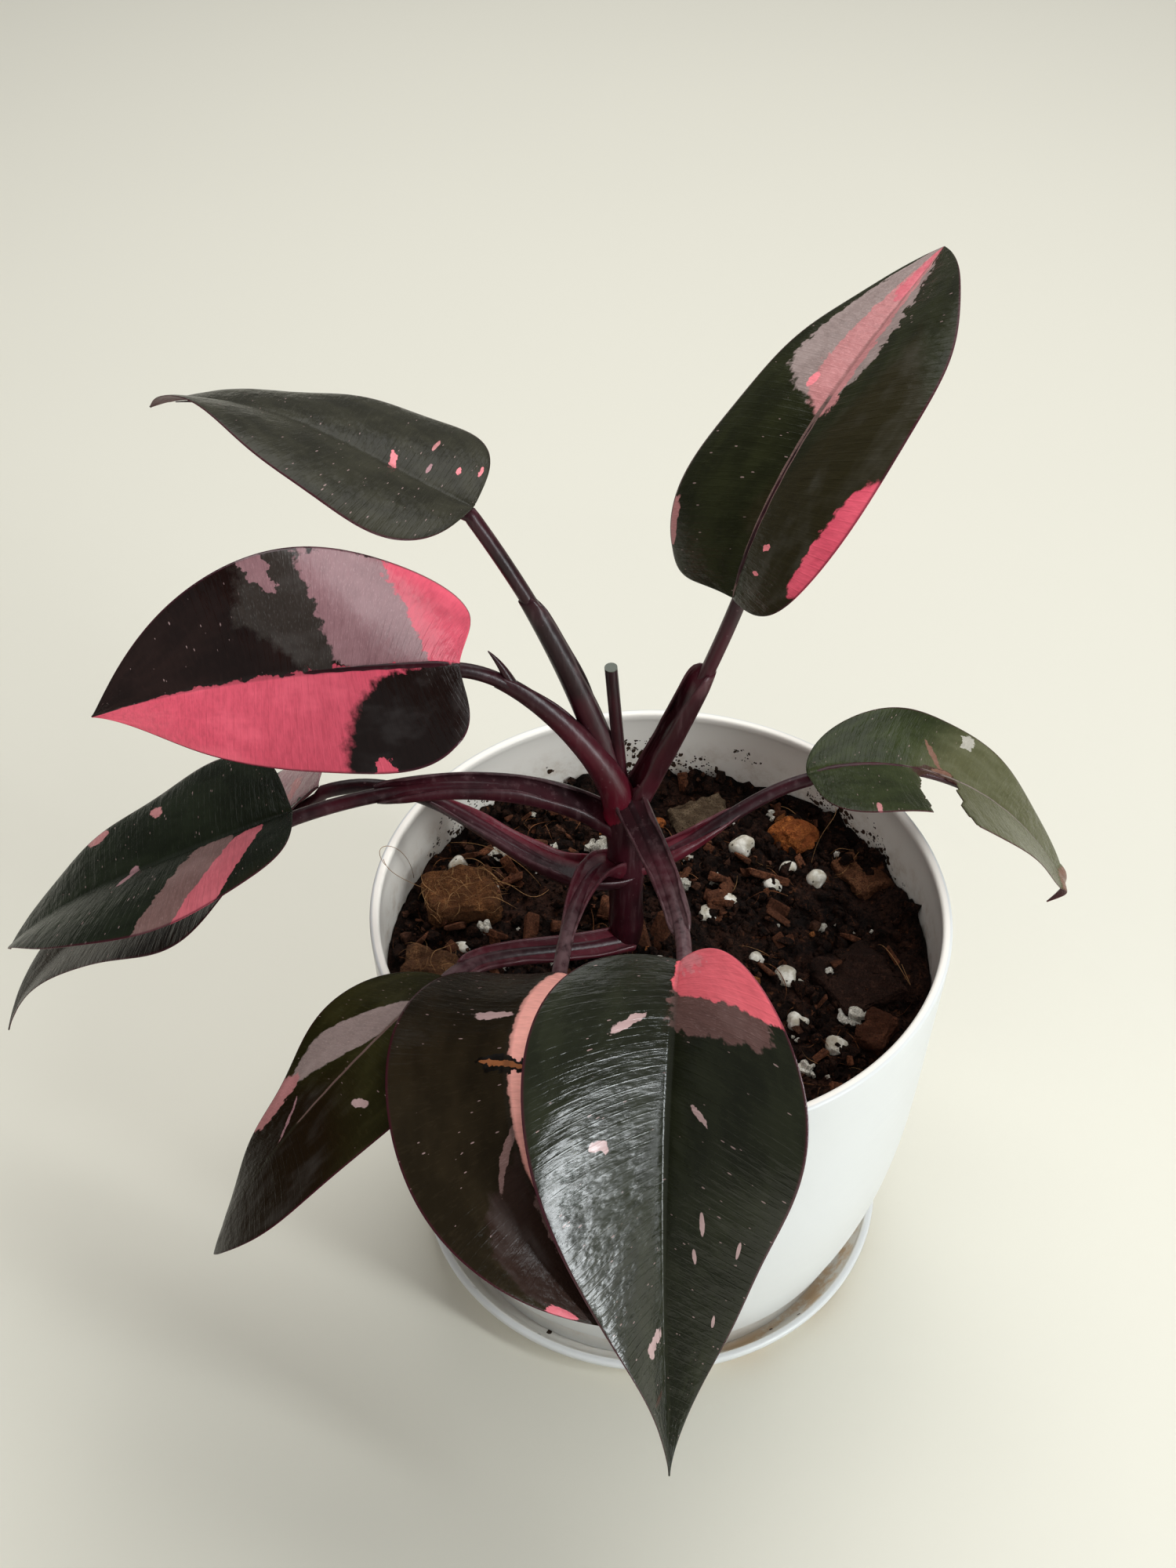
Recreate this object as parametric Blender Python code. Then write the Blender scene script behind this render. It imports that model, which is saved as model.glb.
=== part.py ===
"""Pink princess philodendron in a white plastic pot on its saucer.

Metres, +Z up. The origin is the centre of the saucer's underside, on the pot's axis.
The plant faces -Y. A leaf's left and right are seen from its petiole, upper side up.
"""
import math

import bmesh
import bpy
import numpy as np
from mathutils import Matrix, Vector, noise

# Clearances and wall gauges
GAP = 0.0003
MERGE = 0.00001
POT_WALL = 0.0019
BLADE_THICKNESS = 0.0007
ROUND_STEPS = 40

# Pot: a 150 mm nursery pot with a softly rounded lower wall
RIM_RADIUS = 0.0749
RIM_HEIGHT = 0.125
WALL_TAPER = 0.055
BELLY_TOP = 0.080
BELLY_BOTTOM = 0.0140
BELLY_PULL_IN = 0.0086
POT_LEVELS = (0.121, 0.100, 0.078, 0.056, 0.038, 0.025)
POT_LIP = 0.0010
POT_BEAD = 0.0027
FOOT_RADIUS = 0.0572
FOOT_STEP = 0.0016
FOOT_RING = 0.0022
FLOOR_UNDERSIDE = 0.0045
FLOOR_TOP = 0.0067
DRAIN_HOLES = 6
DRAIN_RADIUS = 0.004
DRAIN_CIRCLE = 0.034

# Saucer
SAUCER_BASE_RADIUS = 0.0585
SAUCER_RADIUS = 0.0657
SAUCER_HEIGHT = 0.0103
SAUCER_FLOOR = 0.0020
SAUCER_WALL = 0.0022
SAUCER_LIP = 0.0011
SAUCER_EDGE = 0.0006

# Soil
SOIL_LEVEL = 0.1020
SOIL_MOUND = 0.0030
SOIL_RELIEF = 0.0016
SOIL_RINGS = 7
SOIL_STEPS = 36
SOCKET_EASE = 1.22
CHIP_EASE = 2.4 * GAP

# Stem: short, thick and slightly leaning
STEM_FOOT = (-0.0080, 0.0040, 0.0780)
STEM_CROWN = (-0.0100, 0.0040, 0.1590)
STEM_RADIUS = 0.0046
STEM_SIDES = 12
STEM_SWELLS = ((0.0, 0.55), (0.12, 0.92), (0.5, 1.0), (0.8, 1.12), (0.95, 1.20), (1.0, 0.62))
STUB_TOP = (-0.0140, 0.0035, 0.2007)
STUB_RADIUS = 0.00165

# Petioles, sheaths and midribs
PETIOLE_SIDES = 7
PETIOLE_STEPS = 10
PETIOLE_RADIUS = 0.0019
MIDRIB_STEPS = 7
MIDRIB_END = 0.62
MIDRIB_TAPER = 0.68
MIDRIB_GAP = 0.0006
SHEATH_STEPS = 6
SHEATH_TURNS = 5
SHEATH_RISE = 0.0020
SHEATH_DEPTH = 0.0044

# Blades
BLADE_ROWS = 16
BLADE_COLUMNS = 8
RIB_SPREAD = 1.25
LOBE_SPREAD = 1.2

# Each leaf: where the blade joins the petiole, the blade's length and half widths, and
# the way its midrib runs. heading (start, end) is the compass angle from +X, climb
# (start, end, middle bump) is the slope, roll (start, end) turns the blade about its
# midrib, all in degrees. fold is the V between the halves, cup the curl towards the
# edges, lobes how far each half reaches back past the joint, shape (base fullness, tip
# sharpness), and edge_left and edge_right shift each half's fullness.
LEAVES = {
    "leaf_front_large": dict(
        joint=(0.0052, -0.0450, 0.1528), length=0.1247, half_left=0.0353, half_right=0.0373,
        heading=(-95, -80), climb=(-5, -49, -28), roll=(24, -40), fold=33, cup=-0.19,
        lobes=(-0.12, -0.08), shape=(0.47, 1.31), edge_left=(0.07, 0.04), edge_right=(0.0, -0.01),
    ),
    "leaf_front_middle": dict(
        joint=(-0.0241, -0.0356, 0.1363), length=0.1061, half_left=0.0293, half_right=0.0333,
        heading=(-124, -23), climb=(34, -49, -17), roll=(22, -15), fold=-13, cup=0.19,
        lobes=(0.51, 0.40), shape=(0.50, 1.08), edge_left=(-0.04, 0.01), edge_right=(-0.08, 0.05),
    ),
    "leaf_front_left": dict(
        joint=(-0.0529, -0.0306, 0.1270), length=0.0982, half_left=0.0244, half_right=0.0169,
        heading=(-116, -157), climb=(18, -72, -3), roll=(3, 21), fold=-4, cup=0.06,
        lobes=(0.36, 0.02), shape=(0.45, 0.88), edge_left=(-0.09, 0.04), edge_right=(0.07, 0.06),
    ),
    "leaf_left_upper": dict(
        joint=(-0.0904, -0.0120, 0.1639), length=0.0935, half_left=0.0290, half_right=0.0291,
        heading=(201, 165), climb=(-13, -56, 4), roll=(11, 0), fold=15, cup=-0.18,
        lobes=(0.19, 0.31), shape=(0.51, 1.01), edge_left=(0.02, -0.05), edge_right=(0.08, 0.04),
    ),
    "leaf_left_lower": dict(
        joint=(-0.0874, 0.0060, 0.1553), length=0.1376, half_left=0.0298, half_right=0.0242,
        heading=(176, 189), climb=(-51, -71, 23), roll=(12, -3), fold=14, cup=-0.21,
        lobes=(0.03, 0.30), shape=(0.60, 1.34), edge_left=(0.19, -0.03), edge_right=(-0.02, 0.04),
    ),
    "leaf_half_pink": dict(
        joint=(-0.0494, -0.0009, 0.2038), length=0.0880, half_left=0.0261, half_right=0.0362,
        heading=(182, 191), climb=(-4, -18, 4), roll=(-2, -75), fold=-10, cup=-0.06,
        lobes=(0.60, 0.49), shape=(0.67, 1.11), edge_left=(0.02, 0.07), edge_right=(0.03, 0.0),
    ),
    "leaf_upper_left": dict(
        joint=(-0.0457, 0.0073, 0.2428), length=0.0851, half_left=0.0292, half_right=0.0289,
        heading=(164, 158), climb=(16, -34, 19), roll=(6, 32), fold=11, cup=-0.18,
        lobes=(0.20, 0.21), shape=(0.53, 1.09), edge_left=(0.03, -0.02), edge_right=(0.04, 0.02),
    ),
    "leaf_upper_right": dict(
        joint=(0.0134, 0.0007, 0.2252), length=0.1093, half_left=0.0291, half_right=0.0317,
        heading=(53, 64), climb=(72, 6, -19), roll=(-24, -27), fold=11, cup=-0.14,
        lobes=(0.57, 0.19), shape=(0.54, 0.91), edge_left=(0.05, 0.02), edge_right=(0.01, -0.04),
    ),
    "leaf_right_torn": dict(
        joint=(0.0364, 0.0249, 0.1490), length=0.0937, half_left=0.0214, half_right=0.0241,
        heading=(18, -16), climb=(9, -64, -5), roll=(-2, -11), fold=6, cup=0.06,
        lobes=(-0.08, 0.34), shape=(0.59, 0.96), edge_left=(0.05, -0.03), edge_right=(0.01, 0.04),
    ),
}

# The bite out of the torn leaf's right half, as (along, across) places on the blade
TEAR = ((0.44, -1.25), (0.435, -0.55), (0.42, -0.22), (0.46, -0.08), (0.53, -0.06),
        (0.56, -0.25), (0.56, -0.60), (0.575, -1.25))

# Each petiole: start on the stem, the two handles of its curve, the sheath's half width,
# the share of the petiole that the sheath covers, and how far a steep knee dips under
# the blade's joint
PETIOLES = {
    "leaf_front_large": dict(
        path=((-0.0095, 0.0030, 0.1600), (-0.0017, -0.0111, 0.1531), (0.0066, -0.0250, 0.1483)),
        sheath=0.0042, cover=0.80,
    ),
    "leaf_front_middle": dict(
        path=((-0.0095, 0.0025, 0.1260), (-0.0140, 0.0049, 0.1433), (-0.0222, -0.0110, 0.1418)),
        sheath=0.0041, cover=0.88, knee=0.0008,
    ),
    "leaf_front_left": dict(
        path=((-0.0080, 0.0025, 0.1080), (-0.0275, -0.0084, 0.1108), (-0.0462, -0.0137, 0.1213)),
        sheath=0.0037, cover=0.85,
    ),
    "leaf_left_upper": dict(
        path=((-0.0110, 0.0040, 0.1470), (-0.0292, 0.0047, 0.1644), (-0.0613, -0.0014, 0.1678)),
        sheath=0.0040, cover=0.78,
    ),
    "leaf_left_lower": dict(
        path=((-0.0100, 0.0040, 0.1310), (-0.0314, -0.0110, 0.1318), (-0.0540, 0.0134, 0.1618)),
        sheath=0.0037, cover=0.70,
    ),
    "leaf_half_pink": dict(
        path=((-0.0110, 0.0040, 0.1520), (-0.0088, -0.0006, 0.1684), (-0.0316, 0.0032, 0.1975)),
        sheath=0.0040, cover=0.84,
    ),
    "leaf_upper_left": dict(
        path=((-0.0110, 0.0050, 0.1540), (-0.0160, 0.0045, 0.1880), (-0.0370, 0.0060, 0.2260)),
        sheath=0.0037, cover=0.66,
    ),
    "leaf_upper_right": dict(
        path=((-0.0085, 0.0050, 0.1510), (0.0000, 0.0033, 0.1753), (0.0085, 0.0015, 0.1994)),
        sheath=0.0041, cover=0.70,
    ),
    "leaf_right_torn": dict(
        path=((-0.0080, 0.0050, 0.1330), (0.0077, 0.0084, 0.1337), (0.0183, 0.0203, 0.1436)),
        sheath=0.0037, cover=0.66,
    ),
}

# Perlite grains: (x, y, width)
PERLITE = (
    (0.0004, -0.0048, 0.0066), (0.0220, 0.0412, 0.0082), (0.0126, 0.0146, 0.0055),
    (0.0182, 0.0194, 0.0050), (0.0301, 0.0276, 0.0060), (0.0347, 0.0340, 0.0052),
    (0.0419, 0.0304, 0.0060), (0.0332, -0.0063, 0.0070), (0.0362, -0.0209, 0.0061),
    (0.0460, -0.0282, 0.0061), (-0.0560, 0.0310, 0.0055), (-0.0466, 0.0350, 0.0048),
    (0.0260, -0.0010, 0.0046), (-0.0519, 0.0000, 0.0045),
)

# Chunks in the soil: (x, y), (length, width, height), turn in degrees, sink below the soil
CHUNKS = {
    "bark_block": ((-0.0540, 0.0160), (0.019, 0.017, 0.010), 12, 0.0030),
    "bark_block_small": ((-0.0600, -0.0085), (0.013, 0.009, 0.008), -8, 0.0028),
    "bark_beige": ((0.0100, 0.0530), (0.017, 0.010, 0.006), 24, 0.0018),
    "bark_husk": ((0.0545, 0.0340), (0.015, 0.011, 0.0032), -52, 0.0006),
    "bark_flat": ((0.0520, -0.0060), (0.020, 0.019, 0.005), 30, 0.0016),
    "bark_low": ((0.0560, -0.0240), (0.012, 0.008, 0.006), 62, 0.0020),
}
CLAY = {
    "clay_lump": ((0.0365, 0.0465), (0.0160, 0.0150, 0.0110), 0, 0.0035),
    "clay_lump_small": ((-0.0026, 0.0480), (0.0060, 0.0055, 0.0050), 0, 0.0016),
}


def clear_scene():
    for item in list(bpy.data.objects):
        bpy.data.objects.remove(item, do_unlink=True)


def make_material(name, colour, roughness, metallic=0.0):
    material = bpy.data.materials.new(name)
    material.use_nodes = True
    shader = material.node_tree.nodes["Principled BSDF"]
    shader.inputs["Base Color"].default_value = (*colour, 1.0)
    shader.inputs["Roughness"].default_value = roughness
    shader.inputs["Metallic"].default_value = metallic
    material.diffuse_color = (*colour, 1.0)
    return material


def add_object(name, form, material=None, sharp_angle=None):
    """Turn a bmesh into a named object in the scene."""
    mesh = bpy.data.meshes.new(name)
    form.to_mesh(mesh)
    form.free()
    item = bpy.data.objects.new(name, mesh)
    bpy.context.scene.collection.objects.link(item)
    if material:
        mesh.materials.append(material)
    if sharp_angle:
        mesh.shade_smooth()
        mesh.set_sharp_from_angle(angle=math.radians(sharp_angle))
    return item


def make_cutter(item):
    item.hide_render = True
    item.display_type = "WIRE"


def cut_with(item, cutters, name):
    """Difference of an object and a collection of cutters."""
    group = bpy.data.collections.new(name)
    bpy.context.scene.collection.children.link(group)
    for cutter in cutters:
        make_cutter(cutter)
        bpy.context.scene.collection.objects.unlink(cutter)
        group.objects.link(cutter)
    boolean = item.modifiers.new(name, "BOOLEAN")
    boolean.operation = "DIFFERENCE"
    boolean.operand_type = "COLLECTION"
    boolean.collection = group
    boolean.solver = "EXACT"


def turned(profile, steps=ROUND_STEPS):
    """Spin a profile of (radius, height) points about the Z axis into a closed body."""
    form = bmesh.new()
    points = [form.verts.new((radius, 0.0, height)) for radius, height in profile]
    edges = [form.edges.new(pair) for pair in zip(points, points[1:])]
    if profile[0][0] > 0.0:
        edges.append(form.edges.new((points[-1], points[0])))
    bmesh.ops.spin(
        form, geom=points + edges, cent=(0, 0, 0), axis=(0, 0, 1), angle=math.tau, steps=steps
    )
    bmesh.ops.remove_doubles(form, verts=form.verts, dist=MERGE)
    bmesh.ops.recalc_face_normals(form, faces=form.faces)
    bmesh.ops.triangulate(form, faces=form.faces)
    return form


def cylinder(radius, low, high, sides=16):
    """An upright or leaning cylinder between two centre points."""
    low, high = Vector(low), Vector(high)
    form = bmesh.new()
    lean = (high - low).to_track_quat("Z", "Y").to_matrix().to_4x4()
    place = Matrix.Translation((low + high) / 2) @ lean
    bmesh.ops.create_cone(
        form, cap_ends=True, segments=sides, radius1=radius, radius2=radius,
        depth=(high - low).length, matrix=place,
    )
    return form


def wall_radius(height):
    """Outer radius of the pot's wall at a height above the table."""
    belly = max(0.0, (BELLY_TOP - height) / (BELLY_TOP - BELLY_BOTTOM))
    return RIM_RADIUS - WALL_TAPER * (RIM_HEIGHT - height) - BELLY_PULL_IN * belly ** 2.5


def build_saucer():
    edge = SAUCER_EDGE
    brim = SAUCER_HEIGHT - SAUCER_LIP
    inner = SAUCER_RADIUS - SAUCER_WALL
    profile = [
        (0.0, 0.0), (SAUCER_BASE_RADIUS, 0.0), (SAUCER_BASE_RADIUS + 3 * edge, 2 * edge),
        (SAUCER_RADIUS - edge, SAUCER_HEIGHT - 5 * edge), (SAUCER_RADIUS, brim),
        (SAUCER_RADIUS - edge, SAUCER_HEIGHT), (inner + edge, SAUCER_HEIGHT), (inner, brim),
        (SAUCER_BASE_RADIUS + edge, SAUCER_FLOOR + edge),
        (SAUCER_BASE_RADIUS - 2 * edge, SAUCER_FLOOR), (0.0, SAUCER_FLOOR),
    ]
    white = make_material("saucer_plastic", (0.80, 0.79, 0.75), 0.35)
    return add_object("saucer", turned(profile), white, sharp_angle=50)


def pot_inside(inset=0.0):
    """The pot's inner profile from the floor's centre up to the lip, moved in by inset."""
    ledge = (wall_radius(BELLY_BOTTOM) - FOOT_STEP - inset, BELLY_BOTTOM + FOOT_STEP + inset)
    corner = FOOT_RADIUS - FOOT_RING - inset
    profile = [(0.0, FLOOR_TOP + inset), (corner - POT_LIP, FLOOR_TOP + inset)]
    profile += [(corner, FLOOR_TOP + POT_LIP + inset), (corner, BELLY_BOTTOM + inset), ledge]
    profile += [(wall_radius(level) - POT_WALL - inset, level) for level in reversed(POT_LEVELS)]
    return profile


def build_pot():
    foot = SAUCER_FLOOR + GAP
    profile = pot_inside()
    profile += [(RIM_RADIUS - POT_BEAD, RIM_HEIGHT - 1.6 * POT_LIP)]
    profile += [(RIM_RADIUS - POT_BEAD + GAP, RIM_HEIGHT - 0.5 * POT_LIP)]
    profile += [(RIM_RADIUS - POT_LIP, RIM_HEIGHT), (RIM_RADIUS, RIM_HEIGHT - POT_LIP)]
    profile += [(wall_radius(level), level) for level in POT_LEVELS + (BELLY_BOTTOM,)]
    profile += [
        (wall_radius(BELLY_BOTTOM) - POT_LIP, BELLY_BOTTOM - 0.75 * FOOT_STEP),
        (FOOT_RADIUS, BELLY_BOTTOM - FOOT_STEP), (FOOT_RADIUS - GAP, foot),
        (FOOT_RADIUS - FOOT_RING - GAP, foot), (FOOT_RADIUS - FOOT_RING - 2 * GAP, FLOOR_UNDERSIDE),
        (0.0, FLOOR_UNDERSIDE),
    ]
    white = make_material("pot_plastic", (0.82, 0.82, 0.79), 0.32)
    pot = add_object("pot", turned(profile), white, sharp_angle=40)
    holes = []
    for index in range(DRAIN_HOLES):
        angle = math.tau * index / DRAIN_HOLES
        x, y = DRAIN_CIRCLE * math.cos(angle), DRAIN_CIRCLE * math.sin(angle)
        form = cylinder(DRAIN_RADIUS, (x, y, FLOOR_UNDERSIDE / 2), (x, y, FLOOR_TOP * 2), 12)
        holes.append(add_object(f"drain_cutter_{index}", form))
    cut_with(pot, holes, "drain_holes")
    return pot


def soil_height(x, y):
    """Height of the soil's uneven top."""
    reach = math.hypot(x, y) / wall_radius(SOIL_LEVEL)
    ripple = noise.noise(Vector((x * 60, y * 60, 3.1)))
    ripple += 0.5 * noise.noise(Vector((x * 150, y * 150, 8.4)))
    edge = min(1.0, (1.0 - reach) * 8.0) if reach < 1.0 else 0.0
    return SOIL_LEVEL + SOIL_MOUND * (1.0 - reach ** 2) + SOIL_RELIEF * ripple * edge


def build_soil(pockets):
    """The soil body: a relief top, and sides that follow the inside of the pot."""
    form = bmesh.new()
    inside = pot_inside(inset=GAP)
    edge = wall_radius(SOIL_LEVEL) - POT_WALL - GAP - 0.0001
    rings = [[(edge * ring / SOIL_RINGS, None)] * SOIL_STEPS for ring in range(1, SOIL_RINGS + 1)]
    rings += [[side] * SOIL_STEPS for side in reversed(inside[1:]) if side[1] < SOIL_LEVEL - 0.004]
    loops = []
    for ring in rings:
        loop = []
        for step, (radius, level) in enumerate(ring):
            angle = math.tau * step / SOIL_STEPS
            x, y = radius * math.cos(angle), radius * math.sin(angle)
            loop.append(form.verts.new((x, y, soil_height(x, y) if level is None else level)))
        loops.append(loop)
    top = form.verts.new((0, 0, soil_height(0, 0)))
    base = form.verts.new((0, 0, FLOOR_TOP + GAP))
    for step in range(SOIL_STEPS):
        after = (step + 1) % SOIL_STEPS
        form.faces.new((top, loops[0][step], loops[0][after]))
        form.faces.new((base, loops[-1][after], loops[-1][step]))
        for upper, lower in zip(loops, loops[1:]):
            form.faces.new((upper[step], lower[step], lower[after], upper[after]))
    bmesh.ops.triangulate(form, faces=form.faces)
    bmesh.ops.recalc_face_normals(form, faces=form.faces)
    dark = make_material("potting_soil", (0.045, 0.028, 0.018), 0.95)
    soil = add_object("soil", form, dark)
    cut_with(soil, pockets, "soil_pockets")
    return soil


def lump(size, seed, rough):
    """A rounded stone-like lump of a given size, centred on the origin."""
    form = bmesh.new()
    bmesh.ops.create_icosphere(form, subdivisions=2, radius=0.5)
    for vert in form.verts:
        dent = noise.noise(vert.co * 3.0 + Vector((seed * 7.3, seed * 1.9, 0.5)))
        vert.co *= 1.0 - rough * abs(dent)
        vert.co = Vector(a * b for a, b in zip(vert.co, size))
    return form


def socket(size):
    """The socket that a lump presses into the soil, a plain hollow around its size."""
    form = bmesh.new()
    bmesh.ops.create_icosphere(form, subdivisions=1, radius=0.5)
    for vert in form.verts:
        vert.co = Vector(a * (SOCKET_EASE * b + 2 * GAP) for a, b in zip(vert.co, size))
    return form


def chip(size, seed):
    """A bark chip: a bevelled block with knocked corners, centred on the origin."""
    form = bmesh.new()
    bmesh.ops.create_cube(form, size=1.0)
    for vert in form.verts:
        corner = Vector((noise.noise(vert.co * 5 + Vector((seed, k * 4.1, 0.3)))) for k in range(3))
        vert.co += 0.16 * corner
        vert.co = Vector(a * b for a, b in zip(vert.co, size))
    bmesh.ops.bevel(form, geom=form.edges, offset=0.12 * min(size), segments=1, affect="EDGES")
    bmesh.ops.triangulate(form, faces=form.faces)
    return form


def seat(name, form, pocket, place, height, turn, sink, material):
    """Set a lump or chip into the soil, and give the cutter for its pocket."""
    z = soil_height(*place) + height / 2 - sink
    matrix = Matrix.Translation((*place, z)) @ Matrix.Rotation(math.radians(turn), 4, "Z")
    bmesh.ops.transform(form, matrix=matrix, verts=form.verts)
    bmesh.ops.transform(pocket, matrix=matrix, verts=pocket.verts)
    add_object(name, form, material)
    return add_object(f"{name}_pocket", pocket)


def build_soil_pieces():
    white = make_material("perlite", (0.80, 0.78, 0.72), 0.85)
    brown = make_material("bark", (0.16, 0.075, 0.035), 0.85)
    orange = make_material("clay", (0.50, 0.20, 0.07), 0.90)
    pockets = []
    for index, (x, y, width) in enumerate(PERLITE):
        size = (width, width * 0.88, width * 0.80)
        form = lump(size, index + 1, 0.45)
        name = f"perlite_{index + 1:02d}"
        pockets.append(seat(name, form, socket(size), (x, y), size[2], 40 * index, width * 0.28, white))
    for index, (name, (place, size, turn, sink)) in enumerate(CHUNKS.items()):
        grown = [side + CHIP_EASE for side in size]
        pocket = chip(size, index + 2)
        bmesh.ops.scale(pocket, vec=[big / side for big, side in zip(grown, size)], verts=pocket.verts)
        pockets.append(seat(name, chip(size, index + 2), pocket, place, size[2], turn, sink, brown))
    for index, (name, (place, size, turn, sink)) in enumerate(CLAY.items()):
        form = lump(size, index + 30, 0.35)
        pockets.append(seat(name, form, socket(size), place, size[2], turn, sink, orange))
    return pockets


def midrib_frame(leaf, distance):
    """Point, tangent, leftward side and upper normal of a blade at a distance along it."""
    steps = 60
    length = leaf["length"]
    point = np.array(leaf["joint"])
    reach = np.linspace(0.0, distance, steps + 1)
    share = np.clip(reach / length, 0.0, 1.0)
    heading = np.radians(leaf["heading"][0] + (leaf["heading"][1] - leaf["heading"][0]) * share)
    start, end, bump = leaf["climb"]
    climb = np.radians(start + (end - start) * share + bump * 4 * share * (1 - share))
    tangent = np.stack(
        (np.cos(heading) * np.cos(climb), np.sin(heading) * np.cos(climb), np.sin(climb)), axis=-1
    )
    stride = distance / steps
    point = point + stride * ((tangent[1:] + tangent[:-1]) / 2).sum(axis=0)
    level_side = np.array((-math.sin(heading[-1]), math.cos(heading[-1]), 0.0))
    level_normal = np.cross(tangent[-1], level_side)
    roll = math.radians(leaf["roll"][0] + (leaf["roll"][1] - leaf["roll"][0]) * share[-1])
    side = level_side * math.cos(roll) + level_normal * math.sin(roll)
    normal = level_normal * math.cos(roll) - level_side * math.sin(roll)
    return point, tangent[-1], side, normal


def blade_point(leaf, along, across):
    """A point of the blade: along 0 to 1 from joint to tip, across -1 right to 1 left."""
    fullness, sharpness = leaf["shape"]
    widest = fullness / (fullness + sharpness)
    swell = along ** fullness * (1 - along) ** sharpness
    swell /= widest ** fullness * (1 - widest) ** sharpness
    left = across > 0
    half = leaf["half_left"] if left else leaf["half_right"]
    lobe = leaf["lobes"][0] if left else leaf["lobes"][1]
    second, third = leaf["edge_left"] if left else leaf["edge_right"]
    swell *= 1 + second * math.sin(math.tau * along) + third * math.sin(3 * math.pi * along)
    out = half * swell * across
    edge = along - lobe * math.sin(math.pi * along) * (1 - along) ** 3
    rib = along ** RIB_SPREAD
    station = leaf["length"] * (rib + (edge - rib) * abs(across) ** LOBE_SPREAD)
    point, _, side, normal = midrib_frame(leaf, station)
    fold = math.radians(leaf["fold"])
    widest_half = max(leaf["half_left"], leaf["half_right"])
    rise = abs(out) * math.sin(fold) + leaf["cup"] * out * out / widest_half
    return point + side * out * math.cos(fold) + normal * rise


def build_blade(name, material):
    """One leaf blade: a triangulated sheet from the blade formula, thickened evenly."""
    leaf = LEAVES[name]
    form = bmesh.new()
    joint = form.verts.new(blade_point(leaf, 0.0, 0.0))
    tip = form.verts.new(blade_point(leaf, 1.0, 0.0))
    rows = []
    for row in range(1, BLADE_ROWS):
        along = (1 - math.cos(math.pi * row / BLADE_ROWS)) / 2
        places = [2 * column / BLADE_COLUMNS - 1 for column in range(BLADE_COLUMNS + 1)]
        rows.append([form.verts.new(blade_point(leaf, along, across)) for across in places])
    for column in range(BLADE_COLUMNS):
        form.faces.new((joint, rows[0][column], rows[0][column + 1]))
        form.faces.new((tip, rows[-1][column + 1], rows[-1][column]))
        for lower, upper in zip(rows, rows[1:]):
            corners = (lower[column], upper[column], upper[column + 1], lower[column + 1])
            if column < BLADE_COLUMNS // 2:
                corners = corners[1:] + corners[:1]
            form.faces.new((corners[0], corners[1], corners[2]))
            form.faces.new((corners[0], corners[2], corners[3]))
    bmesh.ops.recalc_face_normals(form, faces=form.faces)
    blade = add_object(name, form, material)
    solidify = blade.modifiers.new("thickness", "SOLIDIFY")
    solidify.thickness = BLADE_THICKNESS
    solidify.offset = 0.0
    blade.data.shade_smooth()
    return blade


def tear_cutter(leaf):
    """The cutter for the bite in the torn leaf, a prism through the blade."""
    form = bmesh.new()
    reach = 0.012
    walls = []
    for along, across in TEAR:
        point = blade_point(leaf, along, across)
        normal = midrib_frame(leaf, leaf["length"] * along)[3]
        walls.append((form.verts.new(point - reach * normal), form.verts.new(point + reach * normal)))
    for (low, high), (next_low, next_high) in zip(walls, walls[1:] + walls[:1]):
        form.faces.new((low, next_low, next_high, high))
    form.faces.new([low for low, _ in reversed(walls)])
    form.faces.new([high for _, high in walls])
    bmesh.ops.triangulate(form, faces=form.faces)
    bmesh.ops.recalc_face_normals(form, faces=form.faces)
    return add_object("tear_cutter", form)


def build_leaves():
    green = make_material("leaf_green", (0.022, 0.030, 0.020), 0.35)
    pink = make_material("leaf_pink", (0.62, 0.13, 0.20), 0.40)
    for name in LEAVES:
        build_blade(name, pink if name == "leaf_half_pink" else green)
    cut_with(bpy.data.objects["leaf_right_torn"], [tear_cutter(LEAVES["leaf_right_torn"])], "tear")


def loft(rings):
    """A closed body through rings of points, with flat ends."""
    form = bmesh.new()
    loops = [[form.verts.new(point) for point in ring] for ring in rings]
    count = len(loops[0])
    for lower, upper in zip(loops, loops[1:]):
        for index in range(count):
            after = (index + 1) % count
            form.faces.new((lower[index], lower[after], upper[after], upper[index]))
    form.faces.new(loops[0][::-1])
    form.faces.new(loops[-1])
    bmesh.ops.triangulate(form, faces=form.faces)
    bmesh.ops.recalc_face_normals(form, faces=form.faces)
    return form


def path_frames(points):
    """Side and upward normal at each point of a path, level side first."""
    points = [Vector(point) for point in points]
    frames = []
    for index, point in enumerate(points):
        before = points[max(index - 1, 0)]
        after = points[min(index + 1, len(points) - 1)]
        tangent = (after - before).normalized()
        side = tangent.cross(Vector((0, 0, 1))).normalized()
        frames.append((point, side, side.cross(tangent)))
    return frames


def petiole_curve(name):
    """Points of a petiole from the stem to just under its blade's joint."""
    leaf = LEAVES[name]
    start, first, second = (np.array(point) for point in PETIOLES[name]["path"])
    knee = PETIOLES[name].get("knee", 0.0)
    drop = BLADE_THICKNESS / 2 + MIDRIB_GAP + PETIOLE_RADIUS + knee
    end = np.array(leaf["joint"]) - midrib_frame(leaf, 0.0)[3] * drop
    points = []
    for step in range(PETIOLE_STEPS):
        t = step / (PETIOLE_STEPS - 1)
        s = 1 - t
        points.append(s ** 3 * start + 3 * s * s * t * first + 3 * s * t * t * second + t ** 3 * end)
    return points


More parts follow.
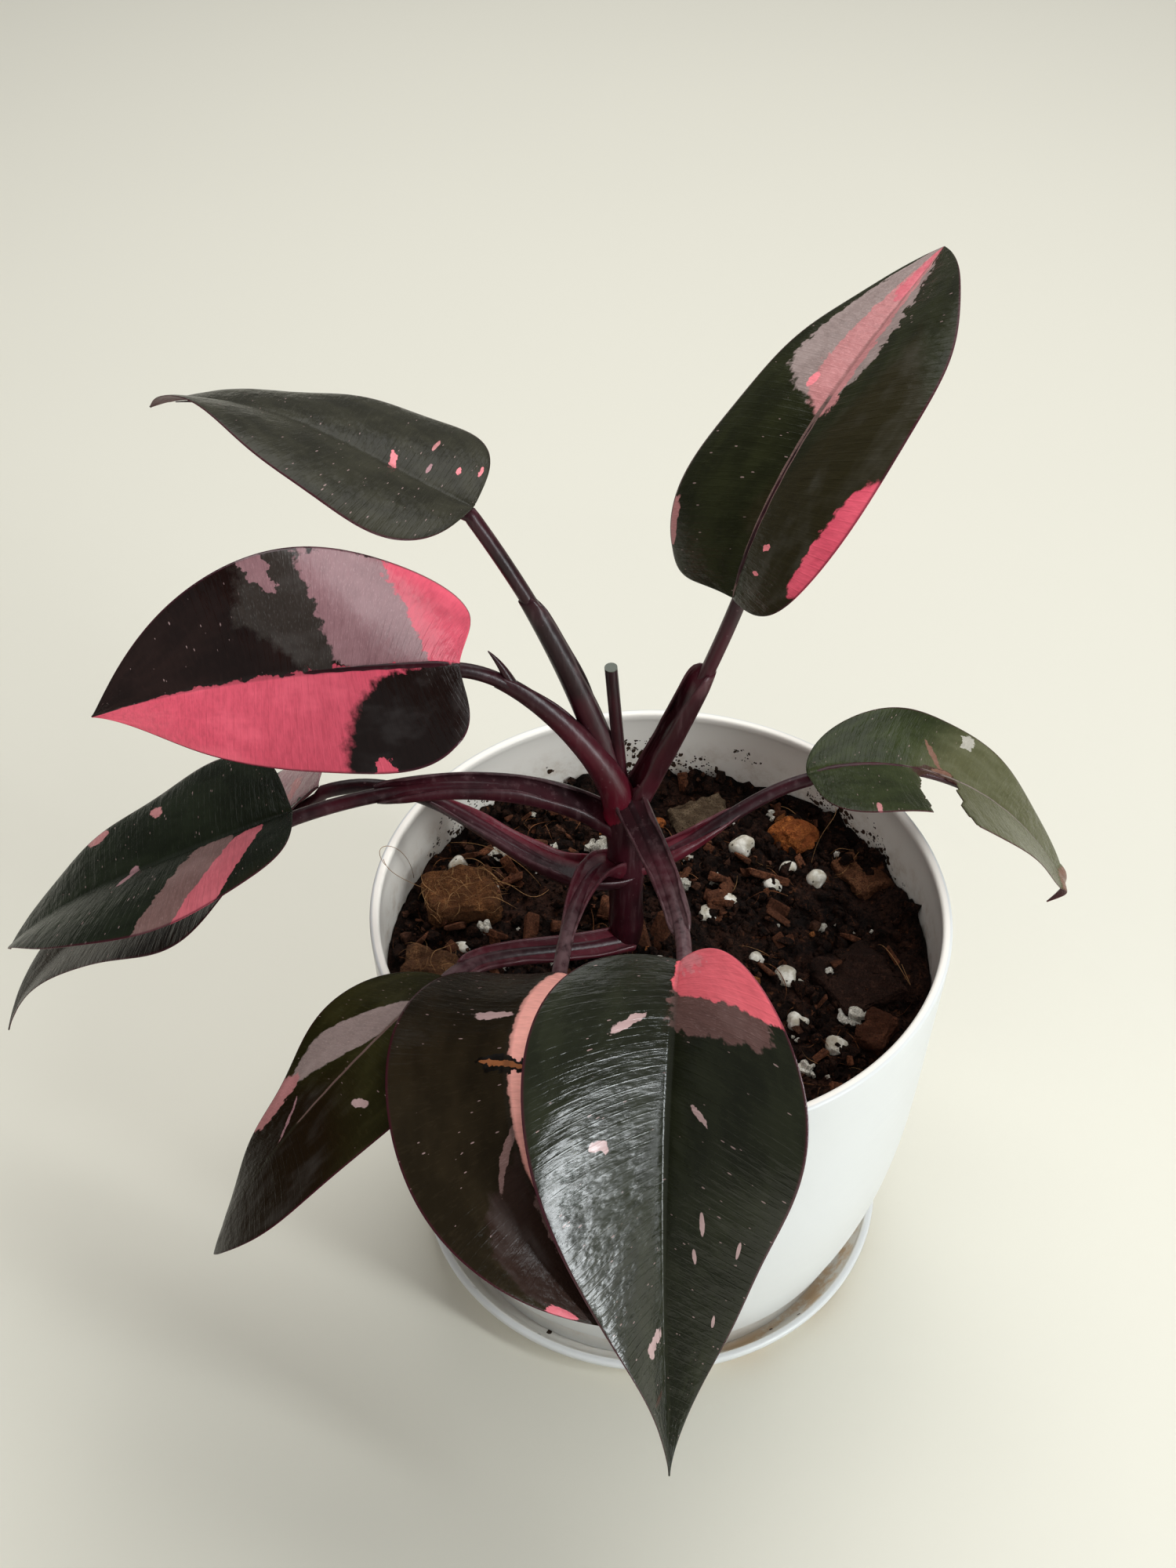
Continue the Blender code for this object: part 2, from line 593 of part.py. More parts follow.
def build_petiole(name):
    """A round petiole that runs on under the blade as its midrib."""
    leaf = LEAVES[name]
    points = petiole_curve(name)
    radii = [PETIOLE_RADIUS] * PETIOLE_STEPS
    for step in range(1, MIDRIB_STEPS + 1):
        share = step / MIDRIB_STEPS
        radius = PETIOLE_RADIUS * (1 - MIDRIB_TAPER * share)
        point, _, _, normal = midrib_frame(leaf, leaf["length"] * MIDRIB_END * share)
        points.append(point - normal * (BLADE_THICKNESS / 2 + MIDRIB_GAP + radius))
        radii.append(radius)
    rings = []
    for (point, side, normal), radius in zip(path_frames(points), radii):
        turns = [math.tau * index / PETIOLE_SIDES for index in range(PETIOLE_SIDES)]
        rings.append([point + radius * (side * math.cos(a) + normal * math.sin(a)) for a in turns])
    return add_object(f"{name}_petiole", loft(rings))


def build_sheath(name):
    """The winged sheath: a shallow gutter along the petiole, open above, blunt at its tip."""
    petiole = PETIOLES[name]
    curve = [Vector(point) for point in petiole_curve(name)]
    last = petiole["cover"] * (PETIOLE_STEPS - 1)
    rings = []
    for step in range(SHEATH_STEPS + 1):
        place = last * step / SHEATH_STEPS
        index = min(int(place), PETIOLE_STEPS - 2)
        point = curve[index].lerp(curve[index + 1], place - index)
        _, side, normal = path_frames(curve)[round(place)]
        share = step / SHEATH_STEPS
        narrowing = 1.12 - 0.30 * share
        blunt_tip = min(1.0, 3.2 * (1.06 - share))
        half = petiole["sheath"] * narrowing * blunt_tip
        ring = []
        for turn in range(SHEATH_TURNS + 1):
            angle = math.pi * (1.0 + turn / SHEATH_TURNS)
            rise = SHEATH_RISE + SHEATH_DEPTH * math.sin(angle)
            ring.append(point + side * half * math.cos(angle) + normal * rise)
        for across in (0.55, 0.0, -0.55):
            rise = SHEATH_RISE * (0.125 + 0.375 * abs(across))
            ring.append(point + side * half * across + normal * rise)
        rings.append(ring)
    return add_object(f"{name}_sheath", loft(rings))


def build_stem():
    """Stem, petioles, sheaths, midribs and the cut stub, joined into one grown body."""
    foot, crown = Vector(STEM_FOOT), Vector(STEM_CROWN)
    rings = []
    turns = [math.tau * index / STEM_SIDES for index in range(STEM_SIDES)]
    for share, swell in STEM_SWELLS:
        centre = foot.lerp(crown, share)
        radius = STEM_RADIUS * swell
        rings.append([centre + Vector((radius * math.cos(a), radius * math.sin(a), 0)) for a in turns])
    purple = make_material("petiole_purple", (0.10, 0.022, 0.035), 0.38)
    stem = add_object("stem_and_petioles", loft(rings), purple)
    shoots = [build_petiole(name) for name in PETIOLES] + [build_sheath(name) for name in PETIOLES]
    shoots.append(add_object("cut_stub", cylinder(STUB_RADIUS, crown.lerp(foot, 0.1), STUB_TOP, 10)))
    group = bpy.data.collections.new("shoots")
    for shoot in shoots:
        group.objects.link(shoot)
    union = stem.modifiers.new("grown_together", "BOOLEAN")
    union.operation = "UNION"
    union.operand_type = "COLLECTION"
    union.collection = group
    union.solver = "EXACT"
    union.use_self = True
    evaluated = stem.evaluated_get(bpy.context.evaluated_depsgraph_get())
    joined = bpy.data.meshes.new_from_object(evaluated)
    stem.modifiers.clear()
    stem.data = joined
    for shoot in shoots:
        bpy.data.objects.remove(shoot, do_unlink=True)
    stem.data.shade_smooth()
    stem.data.set_sharp_from_angle(angle=math.radians(40))
    return stem


def stem_hole():
    """The plain hole in the soil that the stem stands in."""
    foot, crown = Vector(STEM_FOOT), Vector(STEM_CROWN)
    direction = (crown - foot).normalized()
    widest = STEM_RADIUS * max(swell for _, swell in STEM_SWELLS)
    form = cylinder(widest + 2 * GAP, foot - direction * 3 * GAP, crown)
    return add_object("stem_hole_cutter", form)


clear_scene()
build_saucer()
build_pot()
build_leaves()
build_stem()
build_soil(build_soil_pieces() + [stem_hole()])
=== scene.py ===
"""Looks of the potted pink princess philodendron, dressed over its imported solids.

Metres, +Z up. The origin is the centre of the saucer's underside and the plant's front
faces -Y. The sections follow the real thing from the saucer up to the leaves.
"""

import math

import bmesh
import bpy
import numpy as np
from mathutils import Matrix, Vector, noise


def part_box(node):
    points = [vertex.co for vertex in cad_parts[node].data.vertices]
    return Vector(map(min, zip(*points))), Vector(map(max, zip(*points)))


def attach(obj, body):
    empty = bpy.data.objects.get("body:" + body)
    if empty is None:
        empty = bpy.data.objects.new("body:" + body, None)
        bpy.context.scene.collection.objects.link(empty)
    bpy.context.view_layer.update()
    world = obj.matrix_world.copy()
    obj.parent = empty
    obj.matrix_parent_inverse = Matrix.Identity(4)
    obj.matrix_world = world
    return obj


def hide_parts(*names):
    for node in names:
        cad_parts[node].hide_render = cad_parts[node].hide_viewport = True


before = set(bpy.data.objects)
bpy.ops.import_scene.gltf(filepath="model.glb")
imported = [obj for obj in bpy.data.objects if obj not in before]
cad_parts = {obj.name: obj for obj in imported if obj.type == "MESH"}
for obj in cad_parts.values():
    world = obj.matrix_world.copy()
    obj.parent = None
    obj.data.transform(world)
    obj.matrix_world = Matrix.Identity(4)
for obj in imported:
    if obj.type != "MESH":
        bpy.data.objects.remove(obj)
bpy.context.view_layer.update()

# Saucer
# A shallow round dish moulded in white polypropylene, with a rounded rim. The pot stands
# loose in it, and old watering has left a brown tide mark inside its wall.
TURN_STEPS = 192
ARC_STEPS = 5
CREASE_ANGLE = math.radians(38)
SAUCER_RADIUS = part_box("saucer")[1].x
SAUCER_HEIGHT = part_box("saucer")[1].z
SAUCER_BASE_RADIUS = 0.0585
SAUCER_WALL = 0.0022
SAUCER_FLOOR = 0.0020
WHITE_PLASTIC = (0.67, 0.685, 0.685)
DULL_PLASTIC = (0.62, 0.62, 0.59)
TIDE_BROWN = (0.36, 0.23, 0.11)
TIDE_TAN = (0.62, 0.40, 0.19)
# Painted light: a warm cream that lightens the inner walls of the dish and the pot
PAINTED_INNER_LIGHT = (0.90, 0.86, 0.78)
GRIT_BROWN = (0.035, 0.018, 0.010)


def wire(tree, kind, *values, result=0, **settings):
    """Add a node, set its properties, feed its inputs in order and give one output."""
    made = tree.nodes.new(kind)
    for name, value in settings.items():
        setattr(made, name, value)
    open_inputs = [socket for socket in made.inputs if socket.enabled]
    for socket, value in zip(open_inputs, values):
        if isinstance(value, bpy.types.NodeSocket):
            tree.links.new(value, socket)
        elif value is not None:
            colour = socket.type == "RGBA" and len(value) == 3
            socket.default_value = (*value, 1.0) if colour else value
    return [socket for socket in made.outputs if socket.enabled][result]


def calc(tree, operation, *values):
    """The result of one sum on numbers or sockets."""
    return wire(tree, "ShaderNodeMath", *values, operation=operation)


def fade(tree, value, start, end):
    """A smooth step from 0 at start to 1 at end."""
    return wire(tree, "ShaderNodeMapRange", value, start, end, interpolation_type="SMOOTHSTEP")


def tint(tree, mask, first, second):
    """The first colour where the mask is 0 and the second where it is 1."""
    return wire(tree, "ShaderNodeMix", mask, first, second, data_type="RGBA")


def grain(tree, place, scale, detail=2.0, roughness=0.55):
    """Cloudy noise from 0 to 1."""
    return wire(tree, "ShaderNodeTexNoise", place, scale, detail, roughness)


def stretched(tree, place, scales):
    """A place multiplied axis by axis, so that a pattern on it runs long or short."""
    return wire(tree, "ShaderNodeMapping", place, None, None, scales)


def object_place(tree):
    """The place on the piece, in metres."""
    return wire(tree, "ShaderNodeTexCoord", result=3)


def axes(tree, place):
    """The X, Y and Z of a vector."""
    made = tree.nodes.new("ShaderNodeSeparateXYZ")
    tree.links.new(place, made.inputs[0])
    return list(made.outputs)


def axis_distance(tree, x, y):
    """How far a place lies from the pot's upright axis."""
    squares = calc(tree, "ADD", calc(tree, "MULTIPLY", x, x), calc(tree, "MULTIPLY", y, y))
    return calc(tree, "SQRT", squares)


def new_material(name, roughness):
    """A material with its tree and its surface shader."""
    material = bpy.data.materials.new(name)
    material.use_nodes = True
    shader = material.node_tree.nodes["Principled BSDF"]
    shader.inputs["Roughness"].default_value = roughness
    return material, material.node_tree, shader


def relief(tree, shader, height, depth):
    """Feed a height in shares of a depth in metres to the shader's normal."""
    bump = wire(tree, "ShaderNodeBump", 1.0, depth, None, height)
    tree.links.new(bump, shader.inputs["Normal"])


def new_group(name, inputs, outputs):
    """An empty shader group with named float or vector sockets."""
    group = bpy.data.node_groups.new(name, "ShaderNodeTree")
    for title in inputs:
        kind = "NodeSocketVector" if title in ("Place", "Jag") else "NodeSocketFloat"
        group.interface.new_socket(name=title, in_out="INPUT", socket_type=kind)
    for title in outputs:
        group.interface.new_socket(name=title, in_out="OUTPUT", socket_type="NodeSocketFloat")
    return group, group.nodes.new("NodeGroupInput").outputs, group.nodes.new("NodeGroupOutput").inputs


def use(tree, group, **values):
    """Place a shader group and give its first output."""
    made = tree.nodes.new("ShaderNodeGroup")
    made.node_tree = group
    for name, value in values.items():
        socket = made.inputs[name.replace("_", " ").title()]
        if isinstance(value, bpy.types.NodeSocket):
            tree.links.new(value, socket)
        else:
            socket.default_value = value
    return made.outputs[0]


def specks_group():
    """Scattered round specks: a cell pattern of which only a share of the cells is filled."""
    group, given, taken = new_group("specks", ("Place", "Scale", "Size", "Share"), ("Mask",))
    cells = group.nodes.new("ShaderNodeTexVoronoi")
    group.links.new(given["Place"], cells.inputs["Vector"])
    group.links.new(given["Scale"], cells.inputs["Scale"])
    chance, spread, _ = axes(group, cells.outputs["Color"])
    size = calc(group, "MULTIPLY", given["Size"], calc(group, "ADD", spread, 0.35))
    round_mask = calc(group, "LESS_THAN", cells.outputs["Distance"], size)
    filled = calc(group, "LESS_THAN", chance, given["Share"])
    group.links.new(calc(group, "MULTIPLY", round_mask, filled), taken["Mask"])
    return group


def placed(name, data):
    """A new object that holds a mesh, curve, lamp or camera, linked to the scene."""
    piece = bpy.data.objects.new(name, data)
    bpy.context.scene.collection.objects.link(piece)
    return piece


def rounded(corners):
    """The points of an outline whose corners (radius, height, easing) are rounded."""
    points = []
    for index, (radius, height, ease) in enumerate(corners):
        corner = Vector((radius, height))
        if ease == 0.0:
            points.append((radius, height))
            continue
        first = corner + (Vector(corners[index - 1][:2]) - corner).normalized() * ease
        last = corner + (Vector(corners[index + 1][:2]) - corner).normalized() * ease
        for step in range(ARC_STEPS + 1):
            t = step / ARC_STEPS
            points.append(tuple((1 - t) ** 2 * first + 2 * t * (1 - t) * corner + t * t * last))
    return points


def turned(name, outline):
    """Spin an outline of (radius, height) points, from axis to axis, into a closed body."""
    form = bmesh.new()
    rings = []
    for radius, height in outline:
        if radius == 0.0:
            rings.append([form.verts.new((0.0, 0.0, height))] * TURN_STEPS)
            continue
        turns = [math.tau * step / TURN_STEPS for step in range(TURN_STEPS)]
        rings.append([form.verts.new((radius * math.cos(a), radius * math.sin(a), height)) for a in turns])
    for lower, upper in zip(rings, rings[1:]):
        for step in range(TURN_STEPS):
            after = (step + 1) % TURN_STEPS
            corners = dict.fromkeys((lower[step], lower[after], upper[after], upper[step]))
            form.faces.new(list(corners))
    bmesh.ops.recalc_face_normals(form, faces=form.faces)
    mesh = bpy.data.meshes.new(name)
    form.to_mesh(mesh)
    form.free()
    mesh.shade_smooth()
    mesh.set_sharp_from_angle(angle=CREASE_ANGLE)
    return placed(name, mesh)


def plastic(name, stains):
    """White moulded plastic with a soft sheen, fine scuffs, and stains laid over it."""
    material, tree, shader = new_material(name, 0.34)
    place = object_place(tree)
    cloud = grain(tree, place, 38.0, 3.0)
    scuff = grain(tree, stretched(tree, place, (60.0, 60.0, 900.0)), 1.0, 4.0)
    colour = tint(tree, calc(tree, "MULTIPLY", cloud, 0.30), WHITE_PLASTIC, DULL_PLASTIC)
    colour = stains(tree, place, colour)
    tree.links.new(colour, shader.inputs["Base Color"])
    rough = calc(tree, "MULTIPLY_ADD", scuff, 0.16, 0.26)
    tree.links.new(rough, shader.inputs["Roughness"])
    shader.inputs["Specular IOR Level"].default_value = 0.45
    relief(tree, shader, calc(tree, "ADD", cloud, calc(tree, "MULTIPLY", scuff, 0.2)), 0.00006)
    return material


def saucer_stains(tree, place, colour):
    """A tide mark that is strongest on the right of the dish, crumbs of soil, and painted light that lightens the
    inside.
    """
    x, y, height = axes(tree, place)
    radius = axis_distance(tree, x, y)
    inside = fade(tree, radius, SAUCER_RADIUS - 0.0012, SAUCER_RADIUS - 0.0026)
    wall = calc(tree, "MULTIPLY", inside, fade(tree, radius, SAUCER_BASE_RADIUS - 0.004, SAUCER_BASE_RADIUS))
    side = fade(tree, calc(tree, "ADD", x, calc(tree, "MULTIPLY", y, -0.35)), -0.01, 0.055)
    blot = fade(tree, grain(tree, place, 120.0, 5.0, 0.65), 0.42, 0.60)
    level = fade(tree, height, 0.0095, 0.0060)
    mask = calc(tree, "MULTIPLY", calc(tree, "MULTIPLY", wall, side), calc(tree, "MULTIPLY", blot, level))
    # Painted light: the inside of the dish is lightened towards warm cream, standing in for light that bounces into it
    colour = tint(tree, calc(tree, "MULTIPLY", inside, 0.7), colour, PAINTED_INNER_LIGHT)
    colour = tint(tree, calc(tree, "MULTIPLY", mask, 0.80), colour, TIDE_TAN)
    grit = use(tree, SPECKS, place=place, scale=420.0, size=0.34, share=0.07)
    return tint(tree, calc(tree, "MULTIPLY", grit, inside), colour, GRIT_BROWN)


SPECKS = specks_group()
saucer = turned("saucer_dish", rounded([
    (0.0, 0.0, 0.0), (SAUCER_BASE_RADIUS, 0.0, 0.0010),
    (SAUCER_RADIUS - 0.0004, SAUCER_HEIGHT - 0.0026, 0.0012), (SAUCER_RADIUS, SAUCER_HEIGHT - 0.0011, 0.0005),
    (SAUCER_RADIUS - 0.0002, SAUCER_HEIGHT, 0.0008), (SAUCER_RADIUS - SAUCER_WALL, SAUCER_HEIGHT, 0.0007),
    (SAUCER_RADIUS - SAUCER_WALL - 0.0003, SAUCER_HEIGHT - 0.0022, 0.0009),
    (SAUCER_BASE_RADIUS, SAUCER_FLOOR, 0.0014), (0.0, SAUCER_FLOOR, 0.0),
]))
saucer.data.materials.append(plastic("saucer_white", saucer_stains))
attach(saucer, "root")
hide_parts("saucer")

# Pot
# A round nursery pot blow moulded in the same white plastic, with a rounded lower wall, a
# beaded lip and six drain holes in its raised floor. Splashed soil clings inside the rim.
RIM_RADIUS = 0.0749
RIM_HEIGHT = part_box("pot")[1].z
POT_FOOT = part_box("pot")[0].z
WALL_TAPER = 0.055
BELLY_TOP = 0.080
BELLY_BOTTOM = 0.0140
BELLY_PULL_IN = 0.0086
POT_WALL = 0.0019
POT_BEAD = 0.0027
FOOT_RADIUS = 0.0572
FOOT_STEP = 0.0016
FLOOR_UNDERSIDE = 0.0045
FLOOR_TOP = 0.0067
DRAIN_HOLES = 6
DRAIN_RADIUS = 0.004
DRAIN_CIRCLE = 0.034
SPLASH_TOP = 0.1195
SOIL_LEVEL = 0.1020


def wall_radius(height):
    """Outer radius of the pot's wall at a height above the table."""
    belly = max(0.0, (BELLY_TOP - height) / (BELLY_TOP - BELLY_BOTTOM))
    return RIM_RADIUS - WALL_TAPER * (RIM_HEIGHT - height) - BELLY_PULL_IN * belly ** 2.5


def plain_mesh(piece):
    """Replace an object's data with its evaluated mesh and drop its modifiers."""
    bpy.context.view_layer.update()
    graph = bpy.context.evaluated_depsgraph_get()
    mesh = bpy.data.meshes.new_from_object(piece.evaluated_get(graph), depsgraph=graph)
    name = piece.name
    finished = placed(name, mesh)
    bpy.data.objects.remove(piece, do_unlink=True)
    finished.name = name
    return finished


def drilled(piece):
    """Cut the drain holes through the pot's floor."""
    form = bmesh.new()
    for index in range(DRAIN_HOLES):
        angle = math.tau * index / DRAIN_HOLES
        place = Matrix.Translation((DRAIN_CIRCLE * math.cos(angle), DRAIN_CIRCLE * math.sin(angle), FLOOR_TOP))
        bmesh.ops.create_cone(
            form, cap_ends=True, segments=32, radius1=DRAIN_RADIUS, radius2=DRAIN_RADIUS,
            depth=2 * FLOOR_TOP, matrix=place,
        )
    mesh = bpy.data.meshes.new("drain_cutter")
    form.to_mesh(mesh)
    form.free()
    cutter = placed("drain_cutter", mesh)
    cut = piece.modifiers.new("drain_holes", "BOOLEAN")
    cut.operation = "DIFFERENCE"
    cut.object = cutter
    cut.solver = "EXACT"
    finished = plain_mesh(piece)
    bpy.data.objects.remove(cutter, do_unlink=True)
    return finished


def pot_stains(tree, place, colour):
    """Splashed soil that thins out towards the lip, and painted light that lightens the inner wall, inside the pot
    only.
    """
    _, depth, height = axes(tree, place)
    inside = wire(tree, "ShaderNodeAttribute", attribute_name="inside", result=2)
    clumps = fade(tree, grain(tree, place, 55.0, 4.0, 0.6), 0.40, 0.66)
    splash = calc(tree, "MULTIPLY", inside, fade(tree, height, SPLASH_TOP, SOIL_LEVEL + 0.003))
    # Painted light: the inner wall is lightened towards warm cream, standing in for light that reaches into the pot
    colour = tint(tree, calc(tree, "MULTIPLY", inside, 0.85), colour, PAINTED_INNER_LIGHT)
    film = calc(tree, "MULTIPLY", splash, fade(tree, grain(tree, place, 210.0, 5.0, 0.7), 0.42, 0.75))
    colour = tint(tree, calc(tree, "MULTIPLY", film, 0.45), colour, TIDE_BROWN)
    splash = calc(tree, "MULTIPLY", splash, fade(tree, depth, 0.018, 0.060))
    coarse = use(tree, SPECKS, place=place, scale=620.0, size=0.50, share=0.55)
    fine = use(tree, SPECKS, place=place, scale=1500.0, size=0.45, share=0.45)
    grit = calc(tree, "MULTIPLY", calc(tree, "MAXIMUM", coarse, fine), calc(tree, "MULTIPLY", splash, clumps))
    return tint(tree, calc(tree, "GREATER_THAN", grit, 0.12), colour, GRIT_BROWN)


pot_corners = [
    (0.0, FLOOR_TOP, 0.0), (FOOT_RADIUS - 0.0022, FLOOR_TOP, 0.0010),
    (FOOT_RADIUS - 0.0022, BELLY_BOTTOM, 0.0008),
    (wall_radius(BELLY_BOTTOM) - POT_WALL, BELLY_BOTTOM + FOOT_STEP, 0.0008),
]
wall_levels = [BELLY_BOTTOM + 0.004 + 0.0045 * step for step in range(24)]
pot_corners += [(wall_radius(level) - POT_WALL, level, 0.0) for level in wall_levels]
pot_corners += [
    (RIM_RADIUS - POT_BEAD, RIM_HEIGHT - 0.0016, 0.0006), (RIM_RADIUS - POT_BEAD + 0.0002, RIM_HEIGHT, 0.0009),
    (RIM_RADIUS, RIM_HEIGHT, 0.0010),
]
pot_corners += [(wall_radius(level), level, 0.0) for level in reversed(wall_levels)]
pot_corners += [
    (wall_radius(BELLY_BOTTOM) - 0.0002, BELLY_BOTTOM - 0.0012, 0.0010),
    (FOOT_RADIUS, BELLY_BOTTOM - FOOT_STEP, 0.0004),
    (FOOT_RADIUS - 0.0003, POT_FOOT, 0.0006), (FOOT_RADIUS - 0.0025, POT_FOOT, 0.0005),
    (FOOT_RADIUS - 0.0028, FLOOR_UNDERSIDE, 0.0006), (0.0, FLOOR_UNDERSIDE, 0.0),
]
pot = drilled(turned("pot_wall", rounded(pot_corners)))
inside = pot.data.attributes.new("inside", "FLOAT", "POINT")
for vertex, share in zip(pot.data.vertices, inside.data):
    x, y, z = vertex.co
    share.value = float(z > FLOOR_TOP - 0.0001 and math.hypot(x, y) < wall_radius(z) - POT_WALL / 2)
pot.data.shade_smooth()
pot.data.set_sharp_from_angle(angle=CREASE_ANGLE)
pot.data.materials.append(plastic("pot_white", pot_stains))
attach(pot, "root")
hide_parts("pot")

# Soil
# A loose aroid mix of peat, coir and bark that fills the pot to 23 mm under its lip. Its
# body is one crumbly heap; crumbs, fibres, chips and small perlite lie strewn over it.
SOIL_MOUND = 0.0030
SOIL_RELIEF = 0.0016
SOIL_EDGE = wall_radius(SOIL_LEVEL) - POT_WALL - 0.0002
SOIL_RINGS = 110
SOIL_STEPS = 250
PEAT_BLACK = (0.0065, 0.0040, 0.0032)
PEAT_BROWN = (0.034, 0.0150, 0.0098)
COIR_RUST = (0.12, 0.043, 0.018)
COIR_GOLD = (0.34, 0.19, 0.085)
PERLITE_WHITES = ((0.58, 0.54, 0.45), (0.74, 0.72, 0.65), (0.34, 0.27, 0.19))
BROWN_CLODS = ((0.060, 0.026, 0.016), (0.120, 0.052, 0.030), (0.020, 0.010, 0.007))
RUST_CRUMBS = ((0.20, 0.070, 0.022), (0.36, 0.135, 0.042), (0.08, 0.030, 0.014))
SOIL_SIDE_LEVELS = (0.096, 0.07, 0.045, 0.025, 0.017)
BANK_RISE = 0.0042


def soil_height(x, y):
    """Height of the soil's uneven top."""
    reach = math.hypot(x, y) / wall_radius(SOIL_LEVEL)
    ripple = noise.noise(Vector((x * 60, y * 60, 3.1)))
    ripple += 0.5 * noise.noise(Vector((x * 150, y * 150, 8.4)))
    edge = min(1.0, (1.0 - reach) * 8.0) if reach < 1.0 else 0.0
    return SOIL_LEVEL + SOIL_MOUND * (1.0 - reach ** 2) + SOIL_RELIEF * ripple * edge


def crumbly(x, y):
    """Fine relief of the crumbs in the soil's top, which banks up on the wall at the back."""
    lumps = noise.noise(Vector((x * 340, y * 340, 1.7)))
    crumbs = noise.noise(Vector((x * 820, y * 820, 5.2)))
    back = min(1.0, max(0.0, (y + 0.35 * x - 0.004) / 0.03))
    ragged = noise.noise(Vector((x * 260, y * 260, 9.3)))
    bank = max(0.0, (math.hypot(x, y) - 0.058) / 0.012) ** 2 * (0.55 + noise.noise(Vector((x * 95, y * 95, 2.6))))
    return 0.0015 * lumps + 0.0013 * abs(crumbs) + BANK_RISE * back * bank * (0.75 + 0.9 * ragged)


def soil_body():
    """The heap: a finely broken top, sides against the pot and a flat base."""
    places = [(0.0, 0.0, soil_height(0.0, 0.0))]
    turns = [math.tau * step / SOIL_STEPS for step in range(SOIL_STEPS)]
    for ring in range(1, SOIL_RINGS + 1):
        radius = SOIL_EDGE * ring / SOIL_RINGS
        for a in turns:
            x, y = radius * math.cos(a), radius * math.sin(a)
            places.append((x, y, soil_height(x, y) + crumbly(x, y)))
    sides = [(wall_radius(level) - POT_WALL - 0.0003, level) for level in SOIL_SIDE_LEVELS]
    sides += [(FOOT_RADIUS - 0.0026, BELLY_BOTTOM), (FOOT_RADIUS - 0.0026, FLOOR_TOP + 0.0004)]
    for radius, level in sides:
        places += [(radius * math.cos(a), radius * math.sin(a), level) for a in turns]
    places.append((0.0, 0.0, FLOOR_TOP + 0.0004))
    rows = SOIL_RINGS + len(sides)
    faces = []
    for step in range(SOIL_STEPS):
        after = (step + 1) % SOIL_STEPS
        faces.append((0, 1 + step, 1 + after))
        faces.append((len(places) - 1, 1 + (rows - 1) * SOIL_STEPS + after, 1 + (rows - 1) * SOIL_STEPS + step))
        for row in range(rows - 1):
            here, below = 1 + row * SOIL_STEPS, 1 + (row + 1) * SOIL_STEPS
            faces.append((here + step, below + step, below + after, here + after))
    mesh = bpy.data.meshes.new("soil_heap")
    mesh.from_pydata(places, [], faces)
    mesh.shade_smooth()
    return placed("soil_heap", mesh)


def earth(name, colours, lump_scale, depth):
    """Rough matt matter in two broken colours with a third in scattered spots."""
    material, tree, shader = new_material(name, 0.93)
    place = object_place(tree)
    broad = fade(tree, grain(tree, place, lump_scale, 5.0, 0.65), 0.36, 0.66)
    fine = grain(tree, place, lump_scale * 7.0, 4.0, 0.7)
    colour = tint(tree, broad, colours[0], colours[1])
    spots = fade(tree, grain(tree, place, lump_scale * 2.3, 3.0, 0.6), 0.58, 0.72)
    colour = tint(tree, calc(tree, "MULTIPLY", spots, 0.8), colour, colours[2])
    colour = tint(tree, fade(tree, fine, 0.62, 0.30), colour, tuple(0.35 * c for c in colours[0]))
    zone = fade(tree, grain(tree, place, lump_scale * 0.30, 2.0), 0.46, 0.60)
    colour = tint(tree, calc(tree, "MULTIPLY", zone, 0.55), colour, tuple(0.5 * c for c in colours[0]))
    tree.links.new(colour, shader.inputs["Base Color"])
    shader.inputs["Specular IOR Level"].default_value = 0.15
    relief(tree, shader, calc(tree, "ADD", calc(tree, "MULTIPLY", fine, 0.6), broad), depth)
    return material


def tree_inputs(tree, sockets):
    """Give a geometry tree its named inputs and its one output."""
    tree.interface.new_socket(name="Geometry", in_out="OUTPUT", socket_type="NodeSocketGeometry")
    for title, kind in sockets:
        tree.interface.new_socket(name=title, in_out="INPUT", socket_type="NodeSocket" + kind)
    return tree.nodes.new("NodeGroupInput").outputs, tree.nodes.new("NodeGroupOutput").inputs[0]


